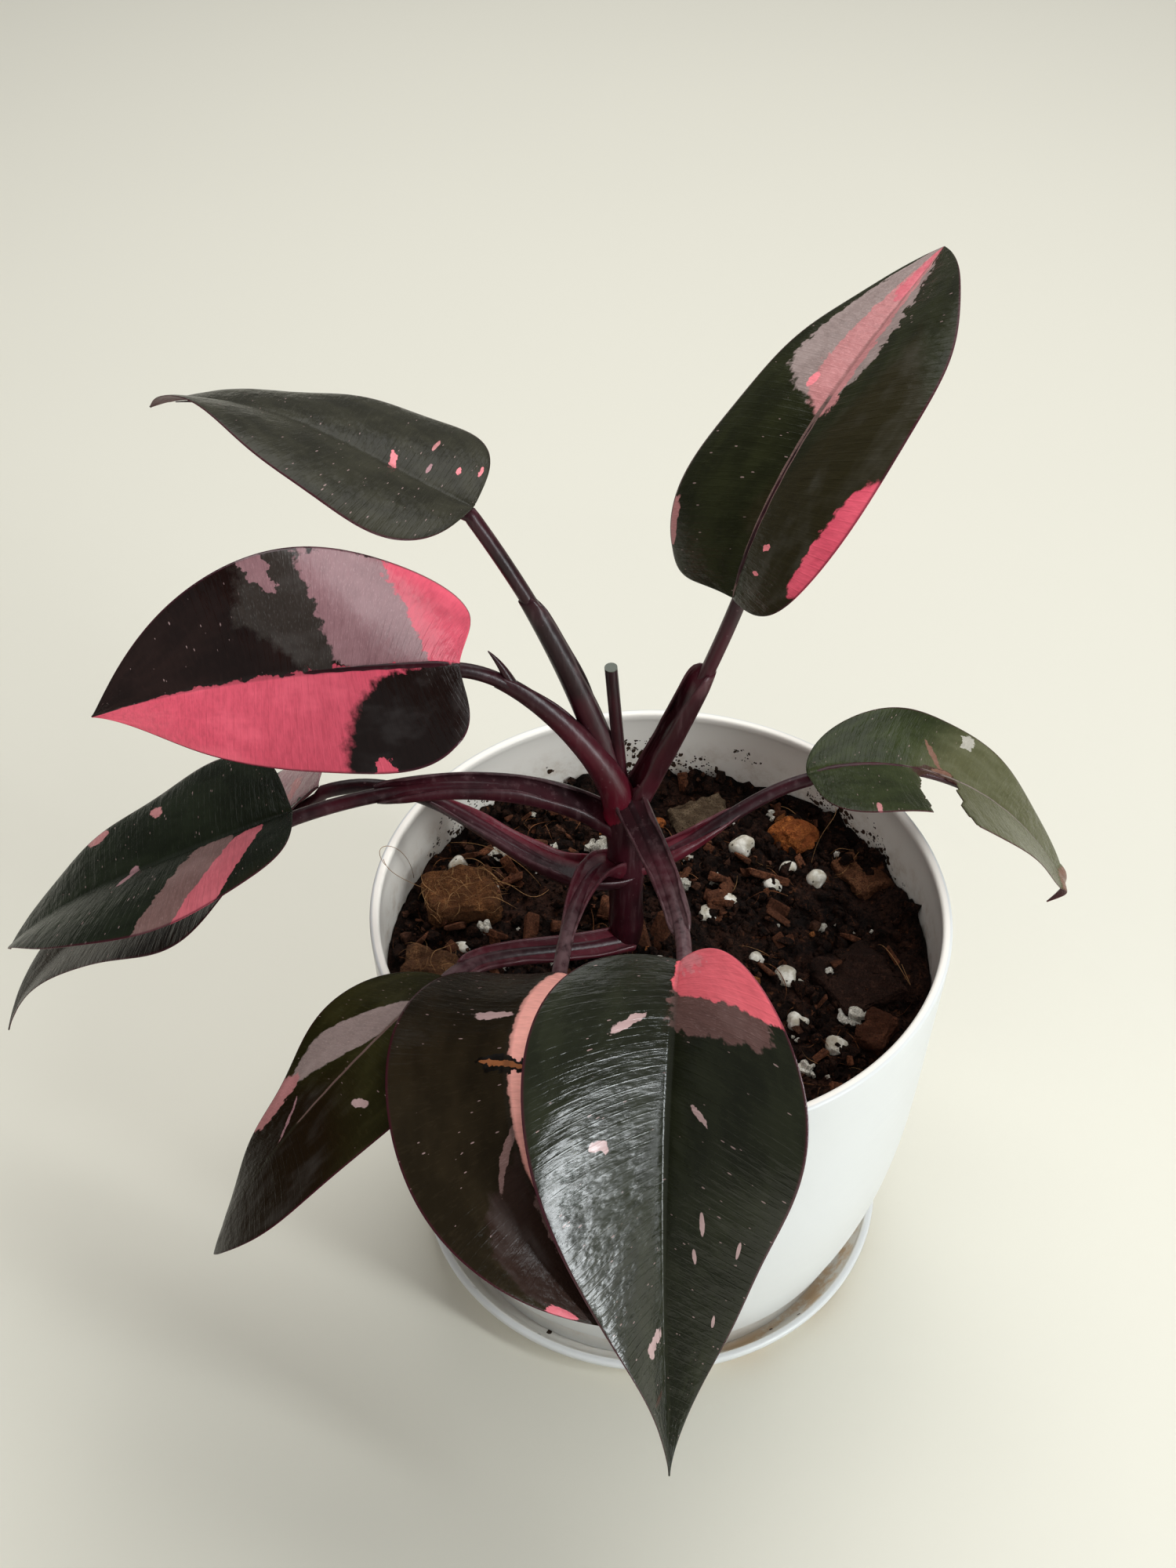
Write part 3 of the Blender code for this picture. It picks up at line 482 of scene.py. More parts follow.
def strewing_tree():
    """Strew copies of a grain over the upward faces of a surface, turned and sized at random."""
    tree = bpy.data.node_groups.new("strewing", "GeometryNodeTree")
    given, out = tree_inputs(tree, (
        ("Geometry", "Geometry"), ("Grain", "Object"), ("Density", "Float"), ("Clumping", "Float"),
        ("Reach", "Float"), ("Smallest", "Float"), ("Largest", "Float"), ("Tumble", "Float"),
        ("Lift", "Float"), ("Seed", "Int"), ("Material", "Material"),
    ))
    facing = axes(tree, wire(tree, "GeometryNodeInputNormal"))[2]
    x, y, _ = axes(tree, wire(tree, "GeometryNodeInputPosition"))
    near = calc(tree, "LESS_THAN", axis_distance(tree, x, y), given["Reach"])
    allowed = calc(tree, "MULTIPLY", calc(tree, "GREATER_THAN", facing, 0.35), near)
    clumps = wire(tree, "ShaderNodeTexNoise", None, 45.0, 2.0)
    thinning = wire(tree, "ShaderNodeMapRange", clumps, calc(tree, "MULTIPLY", given["Clumping"], 0.55), 0.75)
    density = calc(tree, "MULTIPLY", given["Density"], calc(tree, "MULTIPLY", thinning, allowed))
    points = wire(tree, "GeometryNodeDistributePointsOnFaces", given["Geometry"], None, density, given["Seed"])
    tumble, back = given["Tumble"], calc(tree, "MULTIPLY", given["Tumble"], -1.0)
    low = wire(tree, "ShaderNodeCombineXYZ", back, back, 0.0)
    high = wire(tree, "ShaderNodeCombineXYZ", tumble, tumble, math.tau)
    turn = wire(tree, "FunctionNodeRandomValue", low, high, None, 5, data_type="FLOAT_VECTOR")
    size = wire(tree, "FunctionNodeRandomValue", 0.0, 1.0, None, 7, data_type="FLOAT")
    size = calc(tree, "POWER", size, 2.2)
    size = wire(tree, "ShaderNodeMapRange", size, 0.0, 1.0, given["Smallest"], given["Largest"])
    uneven = wire(
        tree, "FunctionNodeRandomValue", (0.7, 0.7, 0.6), (1.3, 1.2, 1.0), None, 9, data_type="FLOAT_VECTOR"
    )
    scale = wire(tree, "ShaderNodeVectorMath", uneven, size, operation="SCALE")
    grain_shape = tree.nodes.new("GeometryNodeObjectInfo")
    tree.links.new(given["Grain"], grain_shape.inputs["Object"])
    copies = wire(
        tree, "GeometryNodeInstanceOnPoints", points, None, grain_shape.outputs["Geometry"], None, None, turn, scale
    )
    lift = wire(tree, "ShaderNodeCombineXYZ", 0.0, 0.0, given["Lift"])
    lifted = wire(tree, "GeometryNodeTranslateInstances", copies, None, lift, False)
    real = wire(tree, "GeometryNodeRealizeInstances", lifted)
    tree.links.new(wire(tree, "GeometryNodeSetMaterial", real, None, given["Material"]), out)
    return tree


def with_tree(piece, tree, **values):
    """Run a geometry tree on an object and keep the plain mesh that it makes."""
    modifier = piece.modifiers.new(tree.name, "NODES")
    modifier.node_group = tree
    for item in tree.interface.items_tree:
        key = item.name.lower().replace(" ", "_")
        if item.in_out == "INPUT" and key in values:
            modifier[item.identifier] = values[key]
    return plain_mesh(piece)


def lump_form(name, faces, rough, seed):
    """A broken rounded grain one unit across."""
    form = bmesh.new()
    bmesh.ops.create_icosphere(form, subdivisions=faces, radius=0.5)
    for vertex in form.verts:
        vertex.co *= 1.0 + rough * noise.noise(vertex.co * 3.1 + Vector((seed, 2.0 * seed, 0.3)))
    return kept_form(name, form)


def kept_form(name, form):
    """Put a mesh form in the scene and free it."""
    mesh = bpy.data.meshes.new(name)
    form.to_mesh(mesh)
    form.free()
    return placed(name, mesh)


def chip_form(name):
    """A flat splinter of bark one unit long."""
    form = bmesh.new()
    bmesh.ops.create_cube(form, size=1.0)
    for vertex in form.verts:
        nudge = Vector([noise.noise(vertex.co * 4.3 + Vector((shift, 0.0, 0.0))) for shift in (0.3, 5.1, 11.7)])
        vertex.co = Vector((vertex.co.x, vertex.co.y * 0.55, vertex.co.z * 0.22)) + 0.13 * nudge
    bmesh.ops.bevel(form, geom=form.edges, offset=0.05, segments=1, affect="EDGES")
    return kept_form(name, form)


def fibre_form(name, bend):
    """A thin bent coir fibre one unit long, three-sided."""
    form = bmesh.new()
    steps, thickness = 9, 0.011
    loops = []
    for step in range(steps + 1):
        t = step / steps - 0.5
        centre = Vector((t, bend * (4 * t * t - 1) * 0.25, 0.10 * math.sin(7.0 * t) * bend))
        width = thickness * (1.0 - 1.7 * abs(t))
        loops.append([form.verts.new(centre + Vector((0.0, width * math.cos(a), width * math.sin(a))))
                      for a in (0.5, 0.5 + math.tau / 3, 0.5 + 2 * math.tau / 3)])
    for first, second in zip(loops, loops[1:]):
        for side in range(3):
            form.faces.new((first[side], first[(side + 1) % 3], second[(side + 1) % 3], second[side]))
    form.faces.new(loops[0])
    form.faces.new(reversed(loops[-1]))
    bmesh.ops.recalc_face_normals(form, faces=form.faces)
    return kept_form(name, form)


STREWING = strewing_tree()
soil = soil_body()
soil_skin = earth("peat_mix", (PEAT_BLACK, PEAT_BROWN, COIR_RUST), 150.0, 0.0008)
crumb_skin = earth("peat_crumb", (PEAT_BLACK, (0.048, 0.021, 0.013), COIR_RUST), 460.0, 0.0006)
clod_skin = earth("brown_crumb", BROWN_CLODS, 380.0, 0.0005)
splinter_skin = earth("splinter_bark", ((0.070, 0.026, 0.014), (0.180, 0.068, 0.034), COIR_RUST), 260.0, 0.0003)
bead_skin = earth("perlite_white", PERLITE_WHITES, 420.0, 0.0003)
rust_skin = earth("rust_crumb", RUST_CRUMBS, 520.0, 0.0004)
coir_skin = earth("coir", (COIR_RUST, (0.20, 0.09, 0.038), COIR_GOLD), 120.0, 0.0001)
pale_coir_skin = earth("coir_pale", (COIR_GOLD, (0.25, 0.12, 0.05), COIR_RUST), 120.0, 0.0001)

# What lies strewn: its skin and shape, how many to a square metre and how clumped, how far
# from the axis, the sizes, the tumbling in radians, the lift off the soil and the seed
STREWN = {
    "soil_crumbs": dict(
        grain=lump_form("crumb", 1, 1.0, 1.0), material=crumb_skin, density=215000.0, clumping=0.4,
        reach=0.0706, smallest=0.0010, largest=0.0046, tumble=3.1, lift=0.0006, seed=3,
    ),
    "brown_crumbs": dict(
        grain=lump_form("clod", 1, 1.1, 9.0), material=clod_skin, density=60000.0, clumping=0.75,
        reach=0.0690, smallest=0.0009, largest=0.0034, tumble=3.1, lift=0.0009, seed=27,
    ),
    "soil_dust": dict(
        grain=lump_form("dust", 1, 0.8, 4.0), material=soil_skin, density=260000.0, clumping=0.2,
        reach=0.0700, smallest=0.0004, largest=0.0013, tumble=3.1, lift=0.0003, seed=11,
    ),
    "bark_splinters": dict(
        grain=chip_form("splinter"), material=splinter_skin, density=30000.0, clumping=0.6,
        reach=0.0665, smallest=0.0025, largest=0.0115, tumble=1.0, lift=0.0011, seed=5,
    ),
    "rust_crumbs": dict(
        grain=lump_form("rust", 1, 0.9, 6.0), material=rust_skin, density=3600.0, clumping=0.7,
        reach=0.0665, smallest=0.0012, largest=0.0042, tumble=3.1, lift=0.0011, seed=17,
    ),
    "coir_fibres": dict(
        grain=fibre_form("fibre", 0.9), material=coir_skin, density=36000.0, clumping=0.7,
        reach=0.0665, smallest=0.0050, largest=0.0170, tumble=0.45, lift=0.0014, seed=8,
    ),
    "coir_hairs": dict(
        grain=fibre_form("hair", 0.5), material=pale_coir_skin, density=14000.0, clumping=0.9,
        reach=0.0650, smallest=0.0040, largest=0.0130, tumble=0.7, lift=0.0018, seed=21,
    ),
    "perlite_small": dict(
        grain=lump_form("bead", 2, 0.7, 2.5), material=bead_skin, density=14000.0, clumping=0.55,
        reach=0.0672, smallest=0.0010, largest=0.0040, tumble=3.1, lift=0.0010, seed=14,
    ),
    "perlite_middling": dict(
        grain=lump_form("pearl", 3, 0.8, 7.1), material=bead_skin, density=3000.0, clumping=0.5,
        reach=0.0650, smallest=0.0028, largest=0.0062, tumble=3.1, lift=0.0014, seed=33,
    ),
}
for name, values in STREWN.items():
    piece = with_tree(placed(name, soil.data.copy()), STREWING, **values)
    bpy.data.objects.remove(values["grain"], do_unlink=True)
    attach(piece, "root")
soil.data.materials.append(soil_skin)
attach(soil, "root")
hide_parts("soil")

# Perlite, bark and clay
# Puffed white volcanic glass, reddish husk and bark cubes, and two lumps of burnt orange
# clay. All of them are pressed a little way into the soil.
PERLITE_GRAINS = [name for name in sorted(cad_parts) if name.startswith("perlite_")]
BARK_CHUNKS = {
    "bark_block": ((0.085, 0.034, 0.014), (0.17, 0.070, 0.026), (0.27, 0.14, 0.055)),
    "bark_block_small": ((0.080, 0.036, 0.018), (0.16, 0.075, 0.034), (0.24, 0.13, 0.06)),
    "bark_beige": ((0.085, 0.056, 0.034), (0.165, 0.118, 0.074), (0.030, 0.017, 0.010)),
    "bark_husk": ((0.090, 0.036, 0.018), (0.175, 0.074, 0.036), (0.040, 0.016, 0.009)),
    "bark_flat": ((0.022, 0.011, 0.008), (0.040, 0.019, 0.013), (0.075, 0.034, 0.022)),
    "bark_low": ((0.060, 0.022, 0.012), (0.11, 0.042, 0.022), (0.030, 0.014, 0.009)),
}
CLAY_COLOURS = ((0.26, 0.070, 0.020), (0.50, 0.165, 0.042), (0.055, 0.018, 0.009))


def broken(name, nodes, levels, kind, roughen):
    """A finer copy of CAD lumps: split up, then pushed in and out by a rule."""
    form = bmesh.new()
    for node in nodes:
        form.from_mesh(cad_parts[node].data)
    bmesh.ops.remove_doubles(form, verts=form.verts, dist=0.00002)
    piece = kept_form(name, form)
    split = piece.modifiers.new("split", "SUBSURF")
    split.subdivision_type = kind
    split.levels = split.render_levels = levels
    piece = plain_mesh(piece)
    normals = [vertex.normal.copy() for vertex in piece.data.vertices]
    for vertex, normal in zip(piece.data.vertices, normals):
        vertex.co += normal * roughen(vertex.co)
    piece.data.materials.clear()
    piece.data.shade_smooth()
    return piece


def pitted(place):
    """Puffed grain: soft lobes with sharp pits."""
    lobes = noise.noise(place * 420.0)
    pits = max(0.0, noise.noise(place * 1300.0 + Vector((4.0, 1.0, 2.0))) - 0.15)
    return 0.00040 + 0.00060 * lobes - 0.00030 * pits


def fibrous(place):
    """Husk: long ridges beside each other and broken edges."""
    ridges = noise.noise(Vector((place.x * 120.0, place.y * 1500.0, place.z * 1300.0)))
    breaks = noise.noise(place * 210.0) + 0.6 * noise.noise(place * 520.0)
    return 0.00034 * ridges + 0.00115 * breaks


def burnt(place):
    """Fired clay: knobs and sharp crumbled hollows."""
    knobs = noise.noise(place * 260.0)
    hollows = max(0.0, noise.noise(place * 620.0 + Vector((7.0, 3.0, 1.0))) - 0.05)
    return 0.00095 * knobs - 0.00110 * hollows


def perlite_skin():
    """White grains with grey hollows and black specks of peat caught in them."""
    material, tree, shader = new_material("perlite_grain", 0.88)
    place = object_place(tree)
    soft = grain(tree, place, 330.0, 4.0, 0.6)
    colour = tint(tree, fade(tree, soft, 0.35, 0.70), (0.40, 0.36, 0.28), (0.76, 0.74, 0.67))
    dirt = use(tree, SPECKS, place=place, scale=900.0, size=0.30, share=0.20)
    colour = tint(tree, calc(tree, "MULTIPLY", dirt, 0.85), colour, (0.05, 0.035, 0.022))
    tree.links.new(colour, shader.inputs["Base Color"])
    relief(tree, shader, grain(tree, place, 1500.0, 3.0, 0.7), 0.00025)
    return material


perlite = broken("perlite_grains", PERLITE_GRAINS, 2, "CATMULL_CLARK", pitted)
perlite.data.materials.append(perlite_skin())
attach(perlite, "root")
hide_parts(*PERLITE_GRAINS)
for node, colours in BARK_CHUNKS.items():
    chunk = broken(f"{node}_rough", [node], 4, "SIMPLE", fibrous)
    chunk.data.materials.append(earth(f"{node}_husk", colours, 330.0, 0.0005))
    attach(chunk, "root")
    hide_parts(node)
hair = fibre_form("husk_hair", 0.7)
hair_skin = earth("husk_fibre", (COIR_GOLD, (0.30, 0.15, 0.06), COIR_RUST), 160.0, 0.0001)
for node, seed in (("bark_block", 2), ("bark_block_small", 6), ("bark_husk", 9)):
    carrier = placed(f"{node}_hairs", bpy.data.objects[f"{node}_rough"].data.copy())
    hairs = with_tree(
        carrier, STREWING, grain=hair, density=360000.0, clumping=0.3, reach=0.0655, smallest=0.0040,
        largest=0.0130, tumble=0.35, lift=0.0003, seed=seed, material=hair_skin,
    )
    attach(hairs, "root")
bpy.data.objects.remove(hair, do_unlink=True)
for node in ("clay_lump", "clay_lump_small"):
    lump = broken(f"{node}_rough", [node], 4, "CATMULL_CLARK", burnt)
    lump.data.materials.append(earth(f"{node}_fired", CLAY_COLOURS, 380.0, 0.0006))
    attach(lump, "root")
    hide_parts(node)

# Stem, petioles and sheaths
# One grown body with a smooth wine-purple skin. Round petioles rise from a short stem,
# each wrapped below in a winged sheath, and run on under the blades as their midribs.
STEM_FOOT = Vector((-0.0080, 0.0040, 0.0780))
STEM_CROWN = Vector((-0.0100, 0.0040, 0.1590))
STEM_RADIUS = 0.0046

# The stem's swellings, as (share of its height, radius in stem radii)
STEM_SWELLS = ((0.0, 0.55), (0.12, 0.92), (0.36, 0.96), (0.44, 1.08), (0.50, 1.0), (0.62, 1.06), (0.68, 1.16),
               (0.76, 1.06), (0.86, 1.16), (0.95, 1.18), (1.0, 0.62))
STUB_TOP = Vector((-0.0140, 0.0035, 0.2007))
STUB_RADIUS = 0.00165
STUB_STEPS = 20
STEM_STEPS = 90
PETIOLE_STEPS = 44
PETIOLE_RADIUS = 0.0019
MIDRIB_STEPS = 44
HORN_REACH = (-0.0058, 0.0010, 0.0098)
HORN_ARCH = (0.0, 0.0, 0.0012)
HORN_RADIUS = 0.0016
HORN_STEPS = 16
HORN_SAMPLES = 50
HORN_FOOT = 38
MIDRIB_END = 0.90
BLADE_THICKNESS = 0.00045
SHEATH_STEPS = 60
SHEATH_SPOKES = 17
SHEATH_SAMPLES = 400
SHEATH_EDGE = 0.0005
SHEATH_FLOOR = 0.0010
SHEATH_FILL = 0.0022
BLUNT_END = 0.10
DRAWN_OUT_END = 0.40
WINE_DARK = (0.012, 0.0026, 0.0040)
WINE_RED = (0.043, 0.0060, 0.0110)
# Pale wine for the stalks' pale lines and dots, and for the painted sheen on lips and front
WINE_PALE_AND_SHEEN = (0.125, 0.070, 0.075)
STUB_GREY = (0.085, 0.095, 0.075)
CRIMSON = (0.21, 0.008, 0.026)

# Each leaf: where its blade joins the petiole, the blade's length and the widths of its
# halves, and how its midrib runs, in degrees at the start and the end: heading, seen from
# above and counted from +X; climb, with a bump halfway; and roll about the midrib. fold
# slopes both halves up, cup bends them towards their edges, lobes is how far they reach back
# past the joint (left, right), shape holds the outline's powers (base, tip), and edge_left
# and edge_right let each edge swing in a long and a short wave. lean lifts the right half
# (near the base, near the tip), curl bends the last of the tip, and sink is how far the
# midrib lies under the blade, in its own radii. path is the petiole: its foot and the two
# points that it bends towards. sheath is the winged gutter around it: begin and cover are
# shares of the petiole, half, under and above its widths (foot, end), wrap and turn are in
# degrees, and blush is its crimson (at the foot, all over, on one lip)
LEAVES = {
    "leaf_front_large": dict(
        joint=(0.0052, -0.0450, 0.1528), length=0.1247, half_left=0.0353, half_right=0.0373,
        heading=(-95, -80), climb=(-5, -49, -28), roll=(24, -40), fold=33, cup=-0.19,
        lobes=(-0.12, -0.08), shape=(0.47, 1.31), edge_left=(0.07, 0.04), edge_right=(0.0, -0.01),
        lean=(0.12, -0.09),
        path=((-0.0095, 0.0030, 0.1600), (-0.0017, -0.0111, 0.1531), (0.0066, -0.0250, 0.1483)),
        sheath=dict(cover=0.80, begin=0.0, half=(0.0044, 0.0030), under=(0.0022, 0.0020),
                    above=(0.0030, 0.0018), wrap=122, turn=25, blunt=True, blush=(0.1, 0.0, 0.0)),
    ),
    "leaf_front_middle": dict(
        joint=(-0.0241, -0.0356, 0.1363), length=0.1061, half_left=0.0293, half_right=0.0333,
        heading=(-124, -23), climb=(34, -49, -17), roll=(22, -15), fold=-13, cup=0.19,
        lobes=(0.51, 0.40), shape=(0.50, 1.08), edge_left=(-0.04, 0.01), edge_right=(-0.08, 0.05),
        path=((-0.0095, 0.0025, 0.1260), (-0.0140, 0.0049, 0.1433), (-0.0222, -0.0110, 0.1418)),
        sheath=dict(cover=0.88, begin=0.20, half=(0.0050, 0.0021), under=(0.0022, 0.0020),
                    above=(0.0034, 0.0012), wrap=85, turn=0, blunt=False, blush=(0.1, 0.1, 0.0)),
    ),
    "leaf_front_left": dict(
        joint=(-0.0529, -0.0306, 0.1270), length=0.0982, half_left=0.0244, half_right=0.0169,
        heading=(-116, -157), climb=(18, -72, -3), roll=(3, 21), fold=-4, cup=0.06,
        lobes=(0.36, 0.02), shape=(0.45, 0.88), edge_left=(-0.09, 0.04), edge_right=(0.07, 0.06),
        path=((-0.0080, 0.0025, 0.1080), (-0.0275, -0.0084, 0.1108), (-0.0462, -0.0137, 0.1213)),
        sheath=dict(cover=0.85, begin=0.0, half=(0.0038, 0.0030), under=(0.0026, 0.0022),
                    above=(0.0027, 0.0020), wrap=118, turn=-30, blunt=True, blush=(0.15, 0.2, 0.0)),
    ),
    "leaf_left_upper": dict(
        joint=(-0.0904, -0.0120, 0.1639), length=0.0935, half_left=0.0290, half_right=0.0291,
        heading=(201, 165), climb=(-13, -56, 4), roll=(11, 0), fold=15, cup=-0.18,
        lobes=(0.19, 0.31), shape=(0.51, 1.01), edge_left=(0.02, -0.05), edge_right=(0.08, 0.04),
        path=((-0.0110, 0.0040, 0.1470), (-0.0292, 0.0047, 0.1644), (-0.0613, -0.0014, 0.1678)),
        sheath=dict(cover=0.78, begin=0.0, half=(0.0042, 0.0032), under=(0.0034, 0.0024),
                    above=(0.0034, 0.0024), wrap=140, turn=-22, blunt=True, blush=(0.0, 0.0, 0.0)),
    ),
    "leaf_left_lower": dict(
        joint=(-0.0874, 0.0060, 0.1553), length=0.1376, half_left=0.0298, half_right=0.0242,
        heading=(176, 189), climb=(-51, -71, 23), roll=(12, -3), fold=14, cup=-0.21,
        lobes=(0.03, 0.30), shape=(0.60, 1.34), edge_left=(0.19, -0.03), edge_right=(-0.02, 0.04),
        path=((-0.0100, 0.0040, 0.1310), (-0.0314, -0.0110, 0.1318), (-0.0540, 0.0134, 0.1618)),
        sheath=dict(cover=0.70, begin=0.0, half=(0.0056, 0.0023), under=(0.0027, 0.0022),
                    above=(0.0036, 0.0016), wrap=90, turn=0, blunt=False, blush=(0.0, 0.0, 0.55)),
    ),
    "leaf_half_pink": dict(
        joint=(-0.0494, -0.0009, 0.2038), length=0.0880, half_left=0.0261, half_right=0.0362,
        heading=(182, 191), climb=(-4, -18, 4), roll=(-2, -75), fold=-10, cup=-0.06,
        lobes=(0.60, 0.49), shape=(0.67, 1.11), edge_left=(0.02, 0.07), edge_right=(0.03, 0.0),
        sink=0.55,
        path=((-0.0110, 0.0040, 0.1520), (-0.0088, -0.0006, 0.1684), (-0.0316, 0.0032, 0.1975)),
        sheath=dict(cover=0.84, begin=0.0, half=(0.0046, 0.0023), under=(0.0050, 0.0020),
                    above=(0.0041, 0.0020), wrap=158, turn=34, blunt=False, blush=(1.0, 0.04, 0.0)),
    ),
    "leaf_upper_left": dict(
        joint=(-0.0457, 0.0073, 0.2428), length=0.0851, half_left=0.0292, half_right=0.0289,
        heading=(164, 158), climb=(16, -34, 19), roll=(6, 32), fold=11, cup=-0.18,
        lobes=(0.20, 0.21), shape=(0.53, 1.09), edge_left=(0.03, -0.02), edge_right=(0.04, 0.02),
        path=((-0.0110, 0.0050, 0.1540), (-0.0160, 0.0045, 0.1880), (-0.0370, 0.0060, 0.2260)),
        sheath=dict(cover=0.66, begin=0.0, half=(0.0043, 0.0026), under=(0.0047, 0.0022),
                    above=(0.0033, 0.0024), wrap=150, turn=22, blunt=True, blush=(0.05, 0.0, 0.0)),
    ),
    "leaf_upper_right": dict(
        joint=(0.0134, 0.0007, 0.2252), length=0.1093, half_left=0.0291, half_right=0.0317,
        heading=(53, 64), climb=(72, 6, -19), roll=(-24, -27), fold=11, cup=-0.14,
        lobes=(0.57, 0.19), shape=(0.54, 0.91), edge_left=(0.05, 0.02), edge_right=(0.01, -0.04),
        sink=0.55,
        path=((-0.0085, 0.0050, 0.1510), (0.0000, 0.0033, 0.1753), (0.0085, 0.0015, 0.1994)),
        sheath=dict(cover=0.70, begin=0.0, half=(0.0041, 0.0034), under=(0.0025, 0.0022),
                    above=(0.0047, 0.0037), wrap=136, turn=30, blunt=True, blush=(0.05, 0.05, 0.0)),
    ),
    "leaf_right_torn": dict(
        joint=(0.0364, 0.0249, 0.1490), length=0.0937, half_left=0.0214, half_right=0.0241,
        heading=(18, -16), climb=(9, -64, -5), roll=(-2, -11), fold=6, cup=0.06,
        lobes=(-0.08, 0.34), shape=(0.59, 0.96), edge_left=(0.05, -0.03), edge_right=(0.01, 0.04),
        sink=0.55, curl=(0.0018, -0.0052, -0.0030),
        path=((-0.0080, 0.0050, 0.1330), (0.0077, 0.0084, 0.1337), (0.0183, 0.0203, 0.1436)),
        sheath=dict(cover=0.66, begin=0.0, half=(0.0041, 0.0019), under=(0.0027, 0.0020),
                    above=(0.0033, 0.0016), wrap=120, turn=10, blunt=False, blush=(0.1, 0.30, 0.0)),
    ),
}


def midrib(leaf, distances):
    """Points, sides and upper normals of a blade's midrib at distances from its joint."""
    length, steps = leaf["length"], 600
    reach = np.linspace(0.0, 1.6 * length, steps + 1)
    reach = np.concatenate((-reach[:0:-1], reach))
    share = np.clip(reach / length, 0.0, 1.0)
    heading = np.radians(leaf["heading"][0] + (leaf["heading"][1] - leaf["heading"][0]) * share)
    start, end, bump = leaf["climb"]
    climb = np.radians(start + (end - start) * share + bump * 4 * share * (1 - share))
    tangent = np.stack((np.cos(heading) * np.cos(climb), np.sin(heading) * np.cos(climb), np.sin(climb)), -1)
    strides = (tangent[1:] + tangent[:-1]) / 2 * np.diff(reach)[:, None]
    points = np.concatenate((np.zeros((1, 3)), np.cumsum(strides, axis=0)))
    points += np.array(leaf["joint"]) - points[steps]
    level_side = np.stack((-np.sin(heading), np.cos(heading), np.zeros_like(heading)), -1)
    level_normal = np.cross(tangent, level_side)
    roll = np.radians(leaf["roll"][0] + (leaf["roll"][1] - leaf["roll"][0]) * share)[:, None]
    side = level_side * np.cos(roll) + level_normal * np.sin(roll)
    normal = level_normal * np.cos(roll) - level_side * np.sin(roll)
    flat = np.ravel(distances)
    found = [np.stack([np.interp(flat, reach, field[:, axis]) for axis in range(3)], -1)
             for field in (points, side, normal)]
    return [field.reshape(*np.shape(distances), 3) for field in found]


def petiole_points(leaf, steps, cover=1.0):
    """Points of a petiole from the stem to just under its blade's joint."""
    start, first, second = (np.array(point) for point in leaf["path"])
    normal = midrib(leaf, np.array([0.0]))[2][0]
    end = np.array(leaf["joint"]) - normal * (BLADE_THICKNESS / 2 + PETIOLE_RADIUS)
    t = cover * np.linspace(0.0, 1.0, steps)[:, None]
    s = 1 - t
    return s ** 3 * start + 3 * s * s * t * first + 3 * s * t * t * second + t ** 3 * end


def path_curve(name, routes):
    """A curve object of open paths, each a list of points and a list of radii."""
    curve = bpy.data.curves.new(name, "CURVE")
    curve.dimensions = "3D"
    curve.twist_mode = "Z_UP"
    for points, radii in routes:
        spline = curve.splines.new("POLY")
        spline.points.add(len(points) - 1)
        for place, point, radius in zip(spline.points, points, radii):
            place.co = (*point, 1.0)
            place.radius = radius
    return placed(name, curve)


def profile_curve(name, outline):
    """A closed cross-section, one unit in radius: X to the right of the path, Y downwards."""
    piece = path_curve(name, [([(x, -up, 0.0) for x, up in outline], [1.0] * len(outline))])
    piece.data.splines[0].use_cyclic_u = True
    return piece


def stalk_tree():
    """Sweep a cross-section along paths, scaled by their radius."""
    tree = bpy.data.node_groups.new("stalks", "GeometryNodeTree")
    given, out = tree_inputs(tree, (
        ("Geometry", "Geometry"), ("Section", "Object"), ("Thickness", "Float"), ("Material", "Material"),
    ))
    section = tree.nodes.new("GeometryNodeObjectInfo")
    tree.links.new(given["Section"], section.inputs["Object"])
    radius = wire(tree, "GeometryNodeInputRadius")
    thickness = calc(tree, "MULTIPLY", radius, given["Thickness"])
    swept = wire(tree, "GeometryNodeCurveToMesh", given["Geometry"], section.outputs["Geometry"], thickness, True)
    smooth = wire(tree, "GeometryNodeSetShadeSmooth", swept)
    real = wire(tree, "GeometryNodeRealizeInstances", smooth)
    tree.links.new(wire(tree, "GeometryNodeSetMaterial", real, None, given["Material"]), out)
    return tree


def round_section(sides=18):
    """A slightly flattened circle."""
    turns = [math.tau * index / sides for index in range(sides)]
    return [(math.cos(a), 0.94 * math.sin(a)) for a in turns]


def sweep(name, routes, outline, material):
    """A plain mesh of one cross-section swept along routes."""
    section = profile_curve(f"{name}_section", outline)
    piece = with_tree(path_curve(name, routes), STALKS, section=section, thickness=1.0, material=material)
    bpy.data.objects.remove(section, do_unlink=True)
    return piece


